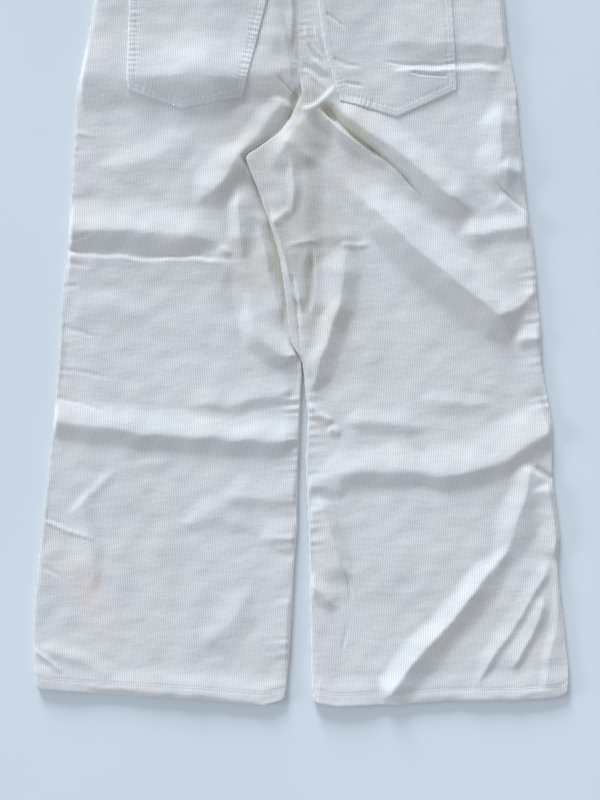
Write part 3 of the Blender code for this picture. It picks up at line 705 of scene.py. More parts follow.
def pucker_height(puckers, x, y):
    """Small uneven waves along the seams."""
    total = np.zeros(np.broadcast(x, y).shape)
    for row in puckers:
        run, along, aside = along_and_aside(row, x, y)
        phase = math.tau * along / row.pitch + PUCKER_DRIFT * UNEVEN(along, row.x0) + PUCKER_LEAN * aside
        strength = PUCKER_MEAN + PUCKER_SPREAD * UNEVEN(row.y0 + along, row.x1)
        strength = np.clip(strength, 0.0, PUCKER_MOST)
        ends = smooth(along / PUCKER_ENDS) * smooth((run - along) / PUCKER_ENDS)
        total += row.height * strength * ends * np.sin(phase) * np.exp(-((aside / row.reach) ** 2))
    return total


def relief(folds, x, y):
    """The folds, wandering a little, with the unevenness of the cloth."""
    wx = x + WARP * WANDER_X(x, y) + QUIVER * UNEVEN(x, y)
    wy = y + WARP * WANDER_Y(x, y) + QUIVER * UNEVEN(y, x)
    rise = fold_height(folds, wx, wy)
    rise += SWELL * BROAD(x, y) + RUFFLE * FINE(RUFFLE_ACROSS * x, y)
    return np.maximum(rise, -DEEPEST)


def left_top(x, y):
    """Upper side of the left back panel."""
    rise = relief(LEFT_FOLDS, x, y)
    rise = rise * smooth(inside("left_out", 1, x, y) / EDGE_FADE)
    under_flap = smooth((cover_line(y) - x) / COVER_FADE)
    at_edge = smooth(inside("left_in", -1, x, y) / EDGE_FADE)
    rise = rise * np.where(y > COVER_END, under_flap, at_edge)
    waves = pucker_height(LEFT_PUCKERS, x, y) * smooth(inside("left_in", -1, x, y) / PUCKER_FADE)
    return flat_top(y) + rise + waves + fold_height(LEFT_TUCKS, x, y)


def right_top(x, y):
    """Upper side of the right back panel, and of the strip of the front one beside it."""
    rise = relief(RIGHT_FOLDS, x, y)
    rise = rise * smooth(inside("right_out", -1, x, y) / EDGE_FADE)
    at_edge = smooth(inside("right_in", 1, x, y) / EDGE_FADE)
    rise = rise * np.where(y < SEAM_END, at_edge, 1.0)
    waves = pucker_height(RIGHT_PUCKERS, x, y) * smooth(inside("right_in", 1, x, y) / PUCKER_FADE)
    rise = np.maximum(rise + waves + fold_height(RIGHT_TUCKS, x, y), -LOWEST)
    return flat_top(y) + lap_of_back(x, y) + rise


def pinch(gap, depth=PINCH, width=PINCH_WIDTH):
    """How far a seam or a row of stitches pulls the cloth in, at some distance from it."""
    return depth * np.exp(-((gap / width) ** 2))


def hem_pinch(y, size):
    """How far the hem's row of stitches pulls the cloth in."""
    return pinch(y - HEM_Y - HEM_BAND, *size)


def edge_foot(column, y):
    """The height half way down a leg's folded edge, where its two panels meet."""
    top = flat_top(y)
    bottom = np.zeros_like(top)
    if column == "right_in":
        edge = outline(column, y)
        top = top + lap_of_back(edge, y)
        bottom = lap_of_front(edge, y)
    return (top + bottom) / 2.0


def edge_share(x, y, left, right):
    """0 on the leg's folded edges and 1 inside them."""
    share = np.ones_like(x)
    for column, side in ((left, 1), (right, -1)):
        near = rounded(inside(column, side, x, y), EDGE_ROUND)
        if column.endswith("_in"):
            near = np.where(y < SEAM_END, near, 1.0)
        share = np.minimum(share, near)
    return share


def back_surface(top, left, right):
    """Height function of a back panel: its top, rounded off at its edges and pulled in at its seams."""
    centre = left if left.endswith("_in") else right
    side = 1 if centre == left else -1

    def surface(x, y):
        share = edge_share(x, y, left, right)
        seam = pinch(inside(centre, side, x, y), *SEAM_PINCH) * (y > SEAM_END)
        return top(x, y) - EDGE_DROP * (1.0 - share) - seam - hem_pinch(y, HEM_PINCH) * share

    return surface


left_back = back_surface(left_top, *LEFT_EDGES)
right_back_plain = back_surface(right_top, *RIGHT_EDGES)


def right_back(x, y):
    """The right back panel, and the strip beside it: the seam between them is pulled in."""
    width = read(STRIP, "width", y)
    gape = read(STRIP, "gape", y)
    seam = pinch(x - outline("right_in", y) - width, gape, GAPE_WIDTH + GAPE_SPREAD * gape)
    shown = smooth(width / STRIP_START) * (y < STRIP_TOP) * (y > STRIP_END)
    return right_back_plain(x, y) - seam * shown


def front_rise(x, y):
    """The underside lies flat, but for shallow creases that lift it off the surface."""
    return fold_height(FRONT_FOLDS, x + WARP * WANDER_X(x, y), y + WARP * WANDER_Y(x, y))


def front_surface(left, right):
    """Height function of a front panel's lower side."""

    def surface(x, y):
        share = edge_share(x, y, left, right)
        flat = lap_of_front(x, y) if right == "right_out" else np.zeros_like(x)
        rise = np.where(flat > 0.0, 0.0, front_rise(x, y) * share)
        tuck = BAND_CLOTH / 2.0 * smooth((y - WAIST_Y + TUCK_START) / TUCK_RAMP)
        return flat + rise + hem_pinch(y, UNDER_PINCH) + tuck + EDGE_DROP * (1.0 - share)

    return surface


left_front = front_surface(*LEFT_EDGES)
right_front = front_surface(*RIGHT_EDGES)


class Rows:
    """Rows of points down a panel: their station, and how far the hem's roll has turned in at each."""

    def __init__(self, step, top=WAIST_Y + TUCK, bottom=HEM_Y, hem=True, keys=()):
        radius = HEM_CLOTH / 2.0
        last = bottom + radius if hem else bottom
        count = max(2, int(round((top - last) / step)))
        ys = np.linspace(top, last, count + 1)
        for key in keys:
            ys[np.abs(ys - key).argmin()] = key
        self.out = np.zeros(len(ys))
        self.turn = np.zeros(len(ys))
        if hem:
            angles = np.linspace(0.0, math.pi, HEM_ROLL + 1)[1:]
            back = np.array([0.5, 1.0]) * (HEM_BAND - radius)
            ys = joined(ys, np.full(len(angles), last), last + back)
            self.out = joined(self.out, -radius * np.sin(angles), [0.0, 0.0])
            self.turn = joined(self.turn, radius * (1.0 - np.cos(angles)), [HEM_CLOTH] * 2)
        self.y = ys
        steps = np.abs(np.diff(ys)) + np.hypot(np.diff(self.out), np.diff(self.turn))
        self.length = joined([0.0], np.cumsum(steps))


class Grid:
    """Points along the wales between two outlines, and the triangles between them."""

    def __init__(self, rows, left, right, slant, pitch=PITCH, points=WALE_POINTS):
        ys = rows.y
        first = math.floor(((left - slant * ys) / pitch).min()) - 1
        last = math.ceil(((right - slant * ys) / pitch).max()) + 1
        lines = (np.arange(first, last + 1)[:, None] + np.array(points)[None, :]).ravel() * pitch
        x = lines[None, :] + slant * ys[:, None]
        held = (x > left[:, None] + MARGIN) & (x < right[:, None] - MARGIN)
        count = x.shape[1]
        some = held.any(axis=1)
        nearest = np.abs(x - left[:, None]).argmin(axis=1).clip(0, count - 2)
        begin = np.where(some, held.argmax(axis=1) - 1, nearest)
        end = np.where(some, count - held[:, ::-1].argmax(axis=1), nearest + 1)
        column = np.arange(count)[None, :]
        x = np.where(column <= begin[:, None], left[:, None], x)
        x = np.where(column >= end[:, None], right[:, None], x)
        used = (column >= begin[:, None]) & (column <= end[:, None])
        start = joined([0], np.cumsum(used.sum(axis=1))[:-1])
        number = start[:, None] + np.clip(column, begin[:, None], end[:, None]) - begin[:, None]
        row = np.repeat(np.arange(len(ys)), count).reshape(x.shape)
        self.row = row[used]
        self.x = x[used]
        self.y = ys[self.row]
        self.wale = (self.x - slant * self.y) / pitch
        inner = (column > begin[:, None]) & (column < end[:, None])
        self.groove = ((column % len(points) == 0) & inner)[used]
        a, d = number[:-1, :-1].ravel(), number[:-1, 1:].ravel()
        b, c = number[1:, :-1].ravel(), number[1:, 1:].ravel()
        self.faces = joined(columns(a, b, c)[b != c], columns(a, c, d)[a != d])
        self.length = rows.length[self.row]
        self.out = rows.out[self.row]
        self.turn = rows.turn[self.row]


def placed(grid, z, share, groove_side, turn_side):
    """Points in millimetres: the grooves cut in, and the hem's roll turned in towards turn_side."""
    wales = GROOVE * grid.groove * smooth(share * (1.0 + GROOVE_START) - GROOVE_START)
    z = z + groove_side * wales + turn_side * grid.turn * share
    return columns(grid.x, bent_y(grid.x, grid.y) + grid.out, z)


def unit(values):
    """Values mapped to the span from 0 to 1."""
    span = values.max() - values.min()
    return (values - values.min()) / max(span, 1e-9)


def planar(points, length, span, tile):
    """A patch's place on the map of its piece, from its X and its distance along the piece."""
    low, high = tile
    across = (points[:, 0] - span[0]) / (span[1] - span[0])
    return columns(across, high - (high - low) * length)


def map_span(left, right):
    return left.min() - MAP_ROOM, right.max() + MAP_ROOM


# A patch's grain holds each point's wale, its distance along the piece, and how worn its pile is, less
# painted shade in narrow creases
Patch = namedtuple("Patch", "points faces grain map")


def add_object(name, data):
    made = bpy.data.objects.new(name, data)
    bpy.context.scene.collection.objects.link(made)
    return made


def add_piece(name, points, faces, finish, grain=None, flat=None):
    """A piece of the garment, from points in millimetres."""
    mesh = bpy.data.meshes.new(name)
    mesh.from_pydata(points * MM, [], faces)
    mesh.materials.append(finish)
    mesh.shade_smooth()
    if grain is not None:
        held = mesh.attributes.new("grain", "FLOAT_VECTOR", "POINT")
        held.data.foreach_set("vector", grain.astype(np.float32).ravel())
    if flat is not None:
        corners = np.empty(len(mesh.loops), np.int32)
        mesh.loops.foreach_get("vertex_index", corners)
        layer = mesh.uv_layers.new(name="OFBake")  # the map that a bake of the finish is laid on
        layer.uv.foreach_set("vector", flat[corners].astype(np.float32).ravel())
    made = add_object(name, mesh)
    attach(made, "root")
    return made


def add_cloth(name, node, patches, finish):
    """A piece of corduroy that stands for a CAD node."""
    starts = np.cumsum([0] + [len(p.points) for p in patches[:-1]])
    made = add_piece(
        name,
        np.concatenate([p.points for p in patches]),
        np.concatenate([p.faces + start for p, start in zip(patches, starts)]),
        finish,
        np.concatenate([p.grain for p in patches]),
        np.concatenate([p.map for p in patches]),
    )
    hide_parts(node)
    return made


def wear_near(gap, reach=2.5):
    """How worn the pile is near an edge or a seam."""
    return np.exp(-np.maximum(gap, 0.0) / reach)


def hem_inset(rows):
    """The hem's turned-in part is a little narrower than the panel."""
    return HEM_INSET * np.clip(rows.turn / HEM_CLOTH, 0.0, 1.0) * (rows.out == 0.0)


def crease_shade_share(tucks, x, y):
    """How deep a point lies in a narrow crease, from 0 to 1: the share of painted shade there."""
    narrow = [tuck for tuck in tucks if tuck.left + tuck.right < NARROW]
    return np.clip(-fold_height(narrow, x, y) / DEEP_CREASE, 0.0, 1.0)


def panel_patches(rows, left, right, slant, surface, edges, under=False, tile=(0.0, 1.0), tucks=()):
    """A leg's panel, with the walls of its folded edges. surface gives its height, and tucks the narrow
    creases where shade is painted.
    """
    inset = hem_inset(rows)
    grid = Grid(rows, left + inset, right - inset, slant)
    share = edge_share(grid.x, grid.y, *edges)
    wear_and_crease_shade = HEM_WEAR * wear_near(grid.y - HEM_Y + grid.out, HEM_WEAR_REACH)
    # Painted shade in narrow creases is carried along with the worn pile, as a negative amount
    wear_and_crease_shade = wear_and_crease_shade - crease_shade_share(tucks, grid.x, grid.y)
    turn = 1.0 if under else -1.0
    points = placed(grid, surface(grid.x, grid.y), share, turn, turn)
    faces = grid.faces[:, ::-1] if under else grid.faces
    span = map_span(left, right)
    flat = planar(points, grid.length / rows.length[-1], span, tile)
    patches = [Patch(points, faces, columns(grid.wale, grid.length, wear_and_crease_shade), flat)]
    for column, side in zip(edges, (-1, 1)):
        patches.append(wall_patch(rows, column, side, surface, under, span, tile))
    return patches


def wall_patch(rows, column, side, surface, under, span, tile):
    """Half of a folded edge, from the panel's edge to where it meets the other panel."""
    held = rows.turn == 0.0
    if column.endswith("_in"):
        held &= rows.y < SEAM_END
    y, length = rows.y[held], rows.length[held]
    x = outline(column, y)
    foot = edge_foot(column, y)
    if column == "right_in" and not under:
        foot = np.where(y > STRIP_TOP, lap_of_front(x, y), foot)
    rim = columns(x, bent_y(x, y), surface(x, y))
    bulge = EDGE_BULGE + (INNER_BULGE - EDGE_BULGE) * climb(y, BULGE_CLIMB) * column.endswith("_in")
    base = columns(x + side * bulge, bent_y(x, y), foot)
    points = joined(rim, base)
    count = len(y)
    a = np.arange(count - 1)
    faces = joined(columns(a, a + 1, a + count + 1), columns(a, a + count + 1, a + count))
    if (side > 0) == under:
        faces = faces[:, ::-1]
    wale, length = np.tile((x - RIGHT_SLANT * y) / PITCH, 2), np.tile(length, 2)
    flat = planar(points, length / rows.length[-1], span, tile)
    return Patch(points, faces, columns(wale, length, np.zeros(2 * count)), flat)


def build_left_back(finish):
    rows = Rows(BACK_STEP)
    left, right = outlines(LEFT_EDGES, rows.y)
    patches = panel_patches(rows, left, right, LEFT_SLANT, left_back, LEFT_EDGES, tucks=LEFT_TUCKS)
    made = add_cloth("back_panel_left", "back_left", patches, finish)


def build_right_back(finish):
    rows = Rows(BACK_STEP)
    left, right = outlines(RIGHT_EDGES, rows.y)
    shown = (rows.y < STRIP_TOP) & (rows.y > STRIP_END)
    left = left + np.where(shown, read(STRIP, "width", rows.y), 0.0)
    patches = panel_patches(rows, left, right, RIGHT_SLANT, right_back, RIGHT_EDGES, tucks=RIGHT_TUCKS)
    made = add_cloth("back_panel_right", "back_right", patches, finish)


def build_left_front(finish):
    rows = Rows(FRONT_STEP)
    left, right = outlines(LEFT_EDGES, rows.y)
    patches = panel_patches(rows, left, right, -LEFT_SLANT, left_front, LEFT_EDGES, under=True)
    made = add_cloth("front_panel_left", "front_left", patches, finish)


def build_strip():
    """The part of the right front panel that shows on top, rolled round the inseam."""
    rows = Rows(STRIP_STEP, top=STRIP_TOP, bottom=STRIP_END, hem=False)
    left = outline("right_in", rows.y)
    width = read(STRIP, "width", rows.y)
    grid = Grid(rows, left, left + width, STRIP_SLANT, PITCH / math.cos(math.atan(STRIP_SLANT)))
    gap = grid.x - outline("right_in", grid.y)
    share = edge_share(grid.x, grid.y, *RIGHT_EDGES)
    points = placed(grid, right_back(grid.x, grid.y), share, -1.0, 0.0)
    grain = columns(grid.wale, grid.length, np.zeros_like(gap))
    low, high = STRIP_TILE
    flat = columns(unit(points[:, 1]), low + (high - low) * unit(gap))
    return Patch(points, grid.faces, grain, flat)


def build_right_front(finish):
    rows = Rows(FRONT_STEP, keys=(SEAM_END, STRIP_TOP))
    left, right = outlines(RIGHT_EDGES, rows.y)
    hidden = (rows.y < SEAM_END) & (rows.y > STRIP_TOP)
    left = np.where(hidden, read(HIDDEN_FRONT, "x", rows.y), left)
    patches = panel_patches(rows, left, right, -RIGHT_SLANT, right_front, RIGHT_EDGES, True, FRONT_TILE)
    made = add_cloth("front_panel_right", "front_right", patches + [build_strip()], finish)


def side_lines(corners):
    """Start and inward normal of each sewn side of a pocket."""
    for a, b in zip(corners, corners[1:]):
        run = math.hypot(b.x - a.x, b.y - a.y)
        yield a, ((a.y - b.y) / run, (b.x - a.x) / run)


def pocket_gap(corners, x, y):
    """Distance from a pocket's sewn sides, inwards."""
    gap = np.full(x.shape, np.inf)
    for a, normal in side_lines(corners):
        gap = np.minimum(gap, (x - a.x) * normal[0] + (y - a.y) * normal[1])
    return gap


def inset_path(corners, distance):
    """The sewn sides moved in."""
    normals = [normal for _, normal in side_lines(corners)]
    path = []
    for corner, (ax, ay), (bx, by) in zip(corners, normals[:1] + normals, normals + normals[-1:]):
        scale = distance / (1.0 + ax * bx + ay * by)
        path.append((corner.x + scale * (ax + bx), corner.y + scale * (ay + by)))
    return path


def pocket_ends(corners, y):
    """X of the pocket's left and right end at Y."""
    lowest = corners.index(min(corners, key=lambda corner: corner.y))
    return read(corners[: lowest + 1], "x", y), read(corners[lowest:][::-1], "x", y)


def pocket_puckers(corners):
    """Waves across the double stitching, along each sewn side."""
    path = inset_path(corners, (ROW_NEAR + ROW_FAR) / 2.0)
    return [Pucker(*a, *b, *POCKET_PUCKER) for a, b in zip(path, path[1:])]


def pocket_surface(corners, under):
    """Height function of a patch pocket on its panel's surface."""
    puckers = pocket_puckers(corners)
    mouth = corners[0].y

    def surface(x, y):
        gap = np.minimum(pocket_gap(corners, x, y), mouth - y)
        rise = POCKET_RISE * rounded(gap, POCKET_R)
        rise -= pinch(gap - ROW_NEAR) + pinch(gap - ROW_FAR)
        rise += pucker_height(puckers, x, y) * smooth(gap / POCKET_PUCKER_FADE)
        return under(x, y) + POCKET_LIFT + rise

    return surface


def build_pocket(side, corners, slant, under, finish):
    """A patch pocket. Returns its height function."""
    lowest = min(c.y for c in corners)
    keys = [c.y for c in corners[1:-1]]
    rows = Rows(POCKET_STEP, top=corners[0].y, bottom=lowest, hem=False, keys=keys)
    left, right = pocket_ends(corners, rows.y)
    grid = Grid(rows, left, right, slant)
    gap = np.minimum(pocket_gap(corners, grid.x, grid.y), corners[0].y - grid.y)
    surface = pocket_surface(corners, under)
    share = rounded(gap, POCKET_R)
    points = placed(grid, surface(grid.x, grid.y), share, -1.0, 0.0)
    wear_and_crease_shade = wear_near(gap, POCKET_WEAR_REACH) + pinch(gap - ROW_NEAR, ROW_WEAR, 1.0)
    wear_and_crease_shade = np.minimum(wear_and_crease_shade, 1.0)
    span = map_span(left, right)
    flat = planar(points, grid.length / rows.length[-1], span, (0.0, 1.0))
    patch = Patch(points, grid.faces, columns(grid.wale, grid.length, wear_and_crease_shade), flat)
    made = add_cloth(f"back_pocket_{side}", f"pocket_{side}", [patch], finish)
    return surface


def band_raise(x):
    """How far the waistband is lifted where it lies on its button."""
    return (BUTTON_THICK + GAP) * smooth((BUMP_FOOT - np.abs(x - BUTTON_X)) / (BUMP_FOOT - BUMP_FLAT))


def band_loop(left, right, inset):
    """Points round the flattened waistband, inset from its outer side, from its lower left end."""
    middle = BAND_HEIGHT / 2.0
    radius = middle - inset
    a, b = left + middle, right - middle
    xs = np.linspace(a, b, BAND_POINTS)
    turn = np.linspace(0.0, math.pi, BAND_TURN)[1:-1]
    lower = columns(xs, inset + band_raise(xs))
    upper = columns(xs[::-1], BAND_HEIGHT - inset + band_raise(xs[::-1]))
    right_end = columns(b + radius * np.sin(turn), middle - radius * np.cos(turn))
    left_end = columns(a - radius * np.sin(turn), middle + radius * np.cos(turn))
    return joined(lower, right_end, upper, left_end)


def band_profile():
    """Rows round the band's wall: Y, inset from the outer side, and whether the row is a groove."""
    rows = [(BAND_LOW + up, inset, False) for up, inset in BAND_FOOT]
    count = round((WAIST_TOP_Y - BAND_LOW) / PITCH)
    pitch = (WAIST_TOP_Y - BAND_LOW) / count
    for wale in range(count):
        for point in WALE_POINTS:
            y = BAND_LOW + pitch * (wale + point)
            if wale > 0 or point > 0.0:
                pull = sum(pinch(y - BAND_LOW - row, BAND_PINCH) for row in BAND_ROWS)
                rows.append((y, pull + (BAND_GROOVE if point == 0.0 else 0.0), point == 0.0))
    return rows + [(WAIST_TOP_Y - down, inset, False) for down, inset in BAND_HEAD]


def band_ends(y):
    """X of the waistband's two ends."""
    taper = BAND_TAPER * (y - BAND_LOW) / (WAIST_TOP_Y - BAND_LOW)
    return STATIONS[0].left_out + taper, STATIONS[0].right_out - taper


def build_waistband(finish):
    """A flattened ring of folded cloth, whose wales run along it."""
    profile = band_profile()
    loops = [band_loop(*band_ends(y), inset) for y, inset, _ in profile]
    count = len(loops[0])
    rings = len(loops)
    ripple = BAND_RIPPLE * FINE(loops[0][:, 0], RIPPLE_SHIFT * np.sign(loops[0][:, 1] - BAND_CLOTH))
    points = []
    for loop, (y, inset, _) in zip(loops, profile):
        lift = ripple * smooth((BAND_CLOTH - inset) / BAND_CLOTH) * (loop[:, 1] > BAND_CLOTH)
        points.append(columns(loop[:, 0], np.full(count, y), loop[:, 1] + lift))
    points = np.concatenate(points)
    ring, place = np.meshgrid(np.arange(rings), np.arange(count), indexing="ij")
    beyond, after = (ring + 1) % rings, (place + 1) % count
    a, b = (ring * count + place).ravel(), (beyond * count + place).ravel()
    c, d = (beyond * count + after).ravel(), (ring * count + after).ravel()
    faces = joined(columns(a, b, c), columns(a, c, d))
    around = joined([0.0], np.cumsum(np.hypot(*np.diff(loops[0], axis=0).T)))
    heights = np.array([y for y, _, _ in profile])
    wear_and_crease_shade = wear_near(np.minimum(heights - BAND_LOW, WAIST_TOP_Y - heights), BAND_WEAR_REACH)
    wale = np.repeat((heights - BAND_LOW) / PITCH, count)
    grain = columns(wale, np.tile(around, rings), np.repeat(wear_and_crease_shade, count))
    flat = columns(np.tile(unit(around), rings), np.repeat(unit(np.arange(rings)), count))
    made = add_cloth("waistband_shell", "waistband", [Patch(points, faces, grain, flat)], finish)


def path_points(path, pitch):
    """Middle and direction of each stitch along a path."""
    found = []
    for a, b in zip(path, path[1:]):
        run = math.dist(a, b)
        count = max(1, int(round(run / pitch)))
        direction = ((b[0] - a[0]) / run, (b[1] - a[1]) / run)
        for i in range(count):
            share = (i + 0.5) / count
            found.append((a[0] + (b[0] - a[0]) * share, a[1] + (b[1] - a[1]) * share, *direction))
    return np.array(found)


def stitch_shape():
    """A stitch along X: rings of points, thick in the middle, and its triangles."""
    sides = 6
    rings = ((-0.5, 0.25), (-0.36, 0.85), (0.0, 1.0), (0.36, 0.85), (0.5, 0.25))  # place and thickness
    points = []
    for share, size in rings:
        for turn in np.arange(sides) * math.tau / sides:
            x, y = share * STITCH_LENGTH, THREAD_R * size * math.cos(turn)
            points.append((x, y, THREAD_R * size * math.sin(turn) - STITCH_DIP * abs(share)))
    faces = []
    for ring in range(len(rings) - 1):
        for i in range(sides):
            j = (i + 1) % sides
            a, b = ring * sides + i, ring * sides + j
            faces += [(a, a + sides, b + sides), (a, b + sides, b)]
    last = (len(rings) - 1) * sides
    faces += [(0, i, i + 1) for i in range(1, sides - 1)]
    faces += [(last, last + i + 1, last + i) for i in range(1, sides - 1)]
    return np.array(points), np.array(faces)


def add_stitches(name, groups, finish):
    """Rows of stitches. A group is a path, the height function it lies on, and 1 for up or -1 for down."""
    shape, shape_faces = stitch_shape()
    points, faces = [], []
    for path, surface, up in groups:
        at = path_points(path, STITCH_PITCH)
        x, y, dx, dy = at.T
        half = STITCH_LENGTH / 2.0
        ahead = surface(x + dx * half, y + dy * half)
        behind = surface(x - dx * half, y - dy * half)
        along = columns(dx * STITCH_LENGTH, dy * STITCH_LENGTH, ahead - behind)
        along /= np.linalg.norm(along, axis=1)[:, None]
        across = columns(-dy, dx, np.zeros_like(dx)) * up
        normal = np.cross(along, across)
        middle = columns(x, bent_y(x, y), (ahead + behind) / 2.0) + normal * STITCH_LIFT
        made = middle[:, None, :] + (
            shape[None, :, 0, None] * along[:, None, :]
            + shape[None, :, 1, None] * across[:, None, :]
            + shape[None, :, 2, None] * normal[:, None, :]
        )
        start = sum(len(p) for p in points)
        points.append(made.reshape(-1, 3))
        offsets = start + np.arange(len(at)) * len(shape)
        faces.append((shape_faces[None] + offsets[:, None, None]).reshape(-1, 3))
    add_piece(name, np.concatenate(points), np.concatenate(faces), finish)


def pocket_paths(corners):
    """Two rows round the sewn sides and one below the mouth."""
    mouth = corners[0].y - MOUTH_ROW
    low, high = pocket_ends(corners, mouth)
    row = [(low + MOUTH_ROW_END, mouth), (high - MOUTH_ROW_END, mouth)]
    return [inset_path(corners, ROW_NEAR), inset_path(corners, ROW_FAR), row]


def hem_path(left, right):
    """The hem's row of stitches, across a leg."""
    y = HEM_Y + HEM_BAND
    xs = np.linspace(outline(left, y) + HEM_ROW_END, outline(right, y) - HEM_ROW_END, HEM_ROW_POINTS)
    return [(float(x), y) for x in xs]


def fly_path(reach, low):
    """The curved stitching beside the front's closure, on the right leg's front panel."""
    path = [(reach, WAIST_Y - SEAM_ROW_TOP), (reach, low + reach)]
    for turn in np.linspace(*FLY_TURN):
        x = FLY_START + FLY_SQUEEZE * reach * math.cos(turn)
        path.append((x, low + reach - reach * math.sin(turn)))
    return path


def band_surface(upper):
    """Height function of the waistband's upper or lower side."""
    level = BAND_HEIGHT - BAND_SINK if upper else BAND_SINK

    def surface(x, y):
        return band_raise(x) + level

    return surface


def build_stitches(finish, pocket_left, pocket_right):
    for side, corners, surface in (
        ("left", LEFT_POCKET, pocket_left),
        ("right", RIGHT_POCKET, pocket_right),
    ):
        rows = [(path, surface, 1) for path in pocket_paths(corners)]
        add_stitches(f"pocket_{side}_stitches", rows, finish)
    left, right = hem_path(*LEFT_EDGES), hem_path(*RIGHT_EDGES)
    hems = [(left, left_back, 1), (right, right_back, 1), (left, left_front, -1), (right, right_front, -1)]
    add_stitches("hem_stitches", hems, finish)
    ys = np.linspace(WAIST_Y - SEAM_ROW_TOP, SEAM_END + SEAM_ROW_LOW, SEAM_ROW_POINTS)
    seam = [(float(outline("left_in", y)) - SEAM_ROW, y) for y in ys]
    add_stitches("seam_stitches", [(seam, left_back, 1)], finish)
    bands = []
    for row in BAND_ROWS:
        left_end, right_end = band_ends(BAND_LOW + row)
        path = [(left_end + BAND_ROW_END, BAND_LOW + row), (right_end - BAND_ROW_END, BAND_LOW + row)]
        bands += [(path, band_surface(True), 1), (path, band_surface(False), -1)]
    add_stitches("waistband_stitches", bands, finish)
    fly = [(fly_path(*row), right_front, -1) for row in FLY_ROWS]
    add_stitches("fly_stitches", fly, finish)


def build_button_thread(finish):
    """Thread through the four holes, crossed on the face of the button."""
    shape, shape_faces = stitch_shape()
    stretch = 2.0 * BUTTON_PITCH / STITCH_LENGTH
    middle_y = (WAIST_Y + WAIST_TOP_Y) / 2.0
    points, faces = [], []
    for turn in (math.pi / 4.0, -math.pi / 4.0):
        for shift in (-THREAD_ASIDE, THREAD_ASIDE):
            along, aside = stretch * shape[:, 0], shape[:, 1] + shift
            x = along * math.cos(turn) - aside * math.sin(turn)
            y = along * math.sin(turn) + aside * math.cos(turn)
            faces.append(shape_faces + len(points) * len(shape))
            points.append(columns(BUTTON_X + x, middle_y + y, BUTTON_FACE - shape[:, 2]))
    add_piece("button_thread", np.concatenate(points), np.concatenate(faces)[:, ::-1], finish)


class Nodes:
    """A material's node tree, with short ways to add to it."""

    def __init__(self, name):
        self.material = bpy.data.materials.new(name)
        self.material.use_nodes = True
        self.tree = self.material.node_tree
        self.shader = self.tree.nodes["Principled BSDF"]
        self.place = self.add("ShaderNodeTexCoord").outputs["Object"]

    def add(self, kind, inputs=(), **settings):
        node = self.tree.nodes.new(kind)
        for key, value in settings.items():
            setattr(node, key, value)
        for key, value in dict(inputs).items():
            self.put(node.inputs[key], value)
        return node

    def put(self, socket, value):
        if isinstance(value, bpy.types.NodeSocket):
            self.tree.links.new(value, socket)
        else:
            socket.default_value = value

    def math(self, operation, a, b=0.0, clamp=False):
        return self.add("ShaderNodeMath", {0: a, 1: b}, operation=operation, use_clamp=clamp).outputs[0]

    def plus(self, a, b):
        return self.math("ADD", a, b)

    def times(self, a, b):
        return self.math("MULTIPLY", a, b)

    def ease(self, value, low, high, start=0.0, stop=1.0):
        """value from low to high, smoothly mapped to start to stop."""
        made = self.add(
            "ShaderNodeMapRange",
            {"Value": value, "From Min": low, "From Max": high, "To Min": start, "To Max": stop},
            interpolation_type="SMOOTHSTEP",
        )
        return made.outputs["Result"]

    def mix(self, factor, a, b, blend="MIX"):
        made = self.add("ShaderNodeMix", data_type="RGBA", blend_type=blend)
        self.put(made.inputs[0], factor)
        self.put(made.inputs[6], a)
        self.put(made.inputs[7], b)
        return made.outputs[2]

    def tint(self, colour, by, share=1.0):
        """A colour multiplied by another where share is 1."""
        tinted = self.mix(1.0, colour, by, "MULTIPLY")
        return tinted if share == 1.0 else self.mix(share, colour, tinted)

    def noise(self, vector, scale, detail=2.0, roughness=0.5):
        inputs = {"Vector": vector, "Scale": scale, "Detail": detail, "Roughness": roughness}
        return self.add("ShaderNodeTexNoise", inputs).outputs["Fac"]

    def vector(self, x, y, z=0.0):
        return self.add("ShaderNodeCombineXYZ", {0: x, 1: y, 2: z}).outputs[0]

    def bump(self, height, distance, strength=1.0):
        inputs = {"Height": height, "Distance": distance, "Strength": strength}
        return self.add("ShaderNodeBump", inputs).outputs[0]

    def finish(self, **values):
        """The material, with values for the shader's inputs. What is the same all over is a plain number."""
        for key, value in values.items():
            self.put(self.shader.inputs[key.replace("_", " ")], value)
        return self.material


def centre_soil_and_shade(made, x, y):
    """Patches of yellowish soil round the crotch, partly painted shade, from 0 to 1."""
    aside = made.math("ABSOLUTE", made.plus(x, -SOIL_AND_SHADE_X))
    centre = made.times(made.ease(y, *SOIL_AND_SHADE_BELOW), made.ease(y, *SOIL_AND_SHADE_ABOVE, 1.0, SOIL_AND_SHADE_AT_SEAT))
    centre = made.times(centre, made.ease(aside, *SOIL_AND_SHADE_ASIDE, 1.0, 0.0))
    patches = made.ease(made.noise(made.place, 17.0, 2.0), 0.38, 0.6, 0.35, 1.3)
    return made.math("MULTIPLY", centre, patches, clamp=True)


def shin_stain(made, x, y, cloud):
    """One faint slanting stain on the left shin, from 0 to 1."""
    along = made.plus(y, -STAIN_Y)
    across = made.plus(made.plus(x, -STAIN_X), made.times(along, STAIN_SLANT))
    dx = made.math("DIVIDE", across, STAIN_WIDTH)
    dy = made.math("DIVIDE", along, STAIN_LENGTH)
    reach = made.math("SQRT", made.plus(made.math("POWER", dx, 2.0), made.math("POWER", dy, 2.0)))
    return made.ease(made.plus(reach, made.ease(cloud, 0.3, 0.7, -0.3, 0.3)), 0.2, 1.15, 0.9, 0.0)


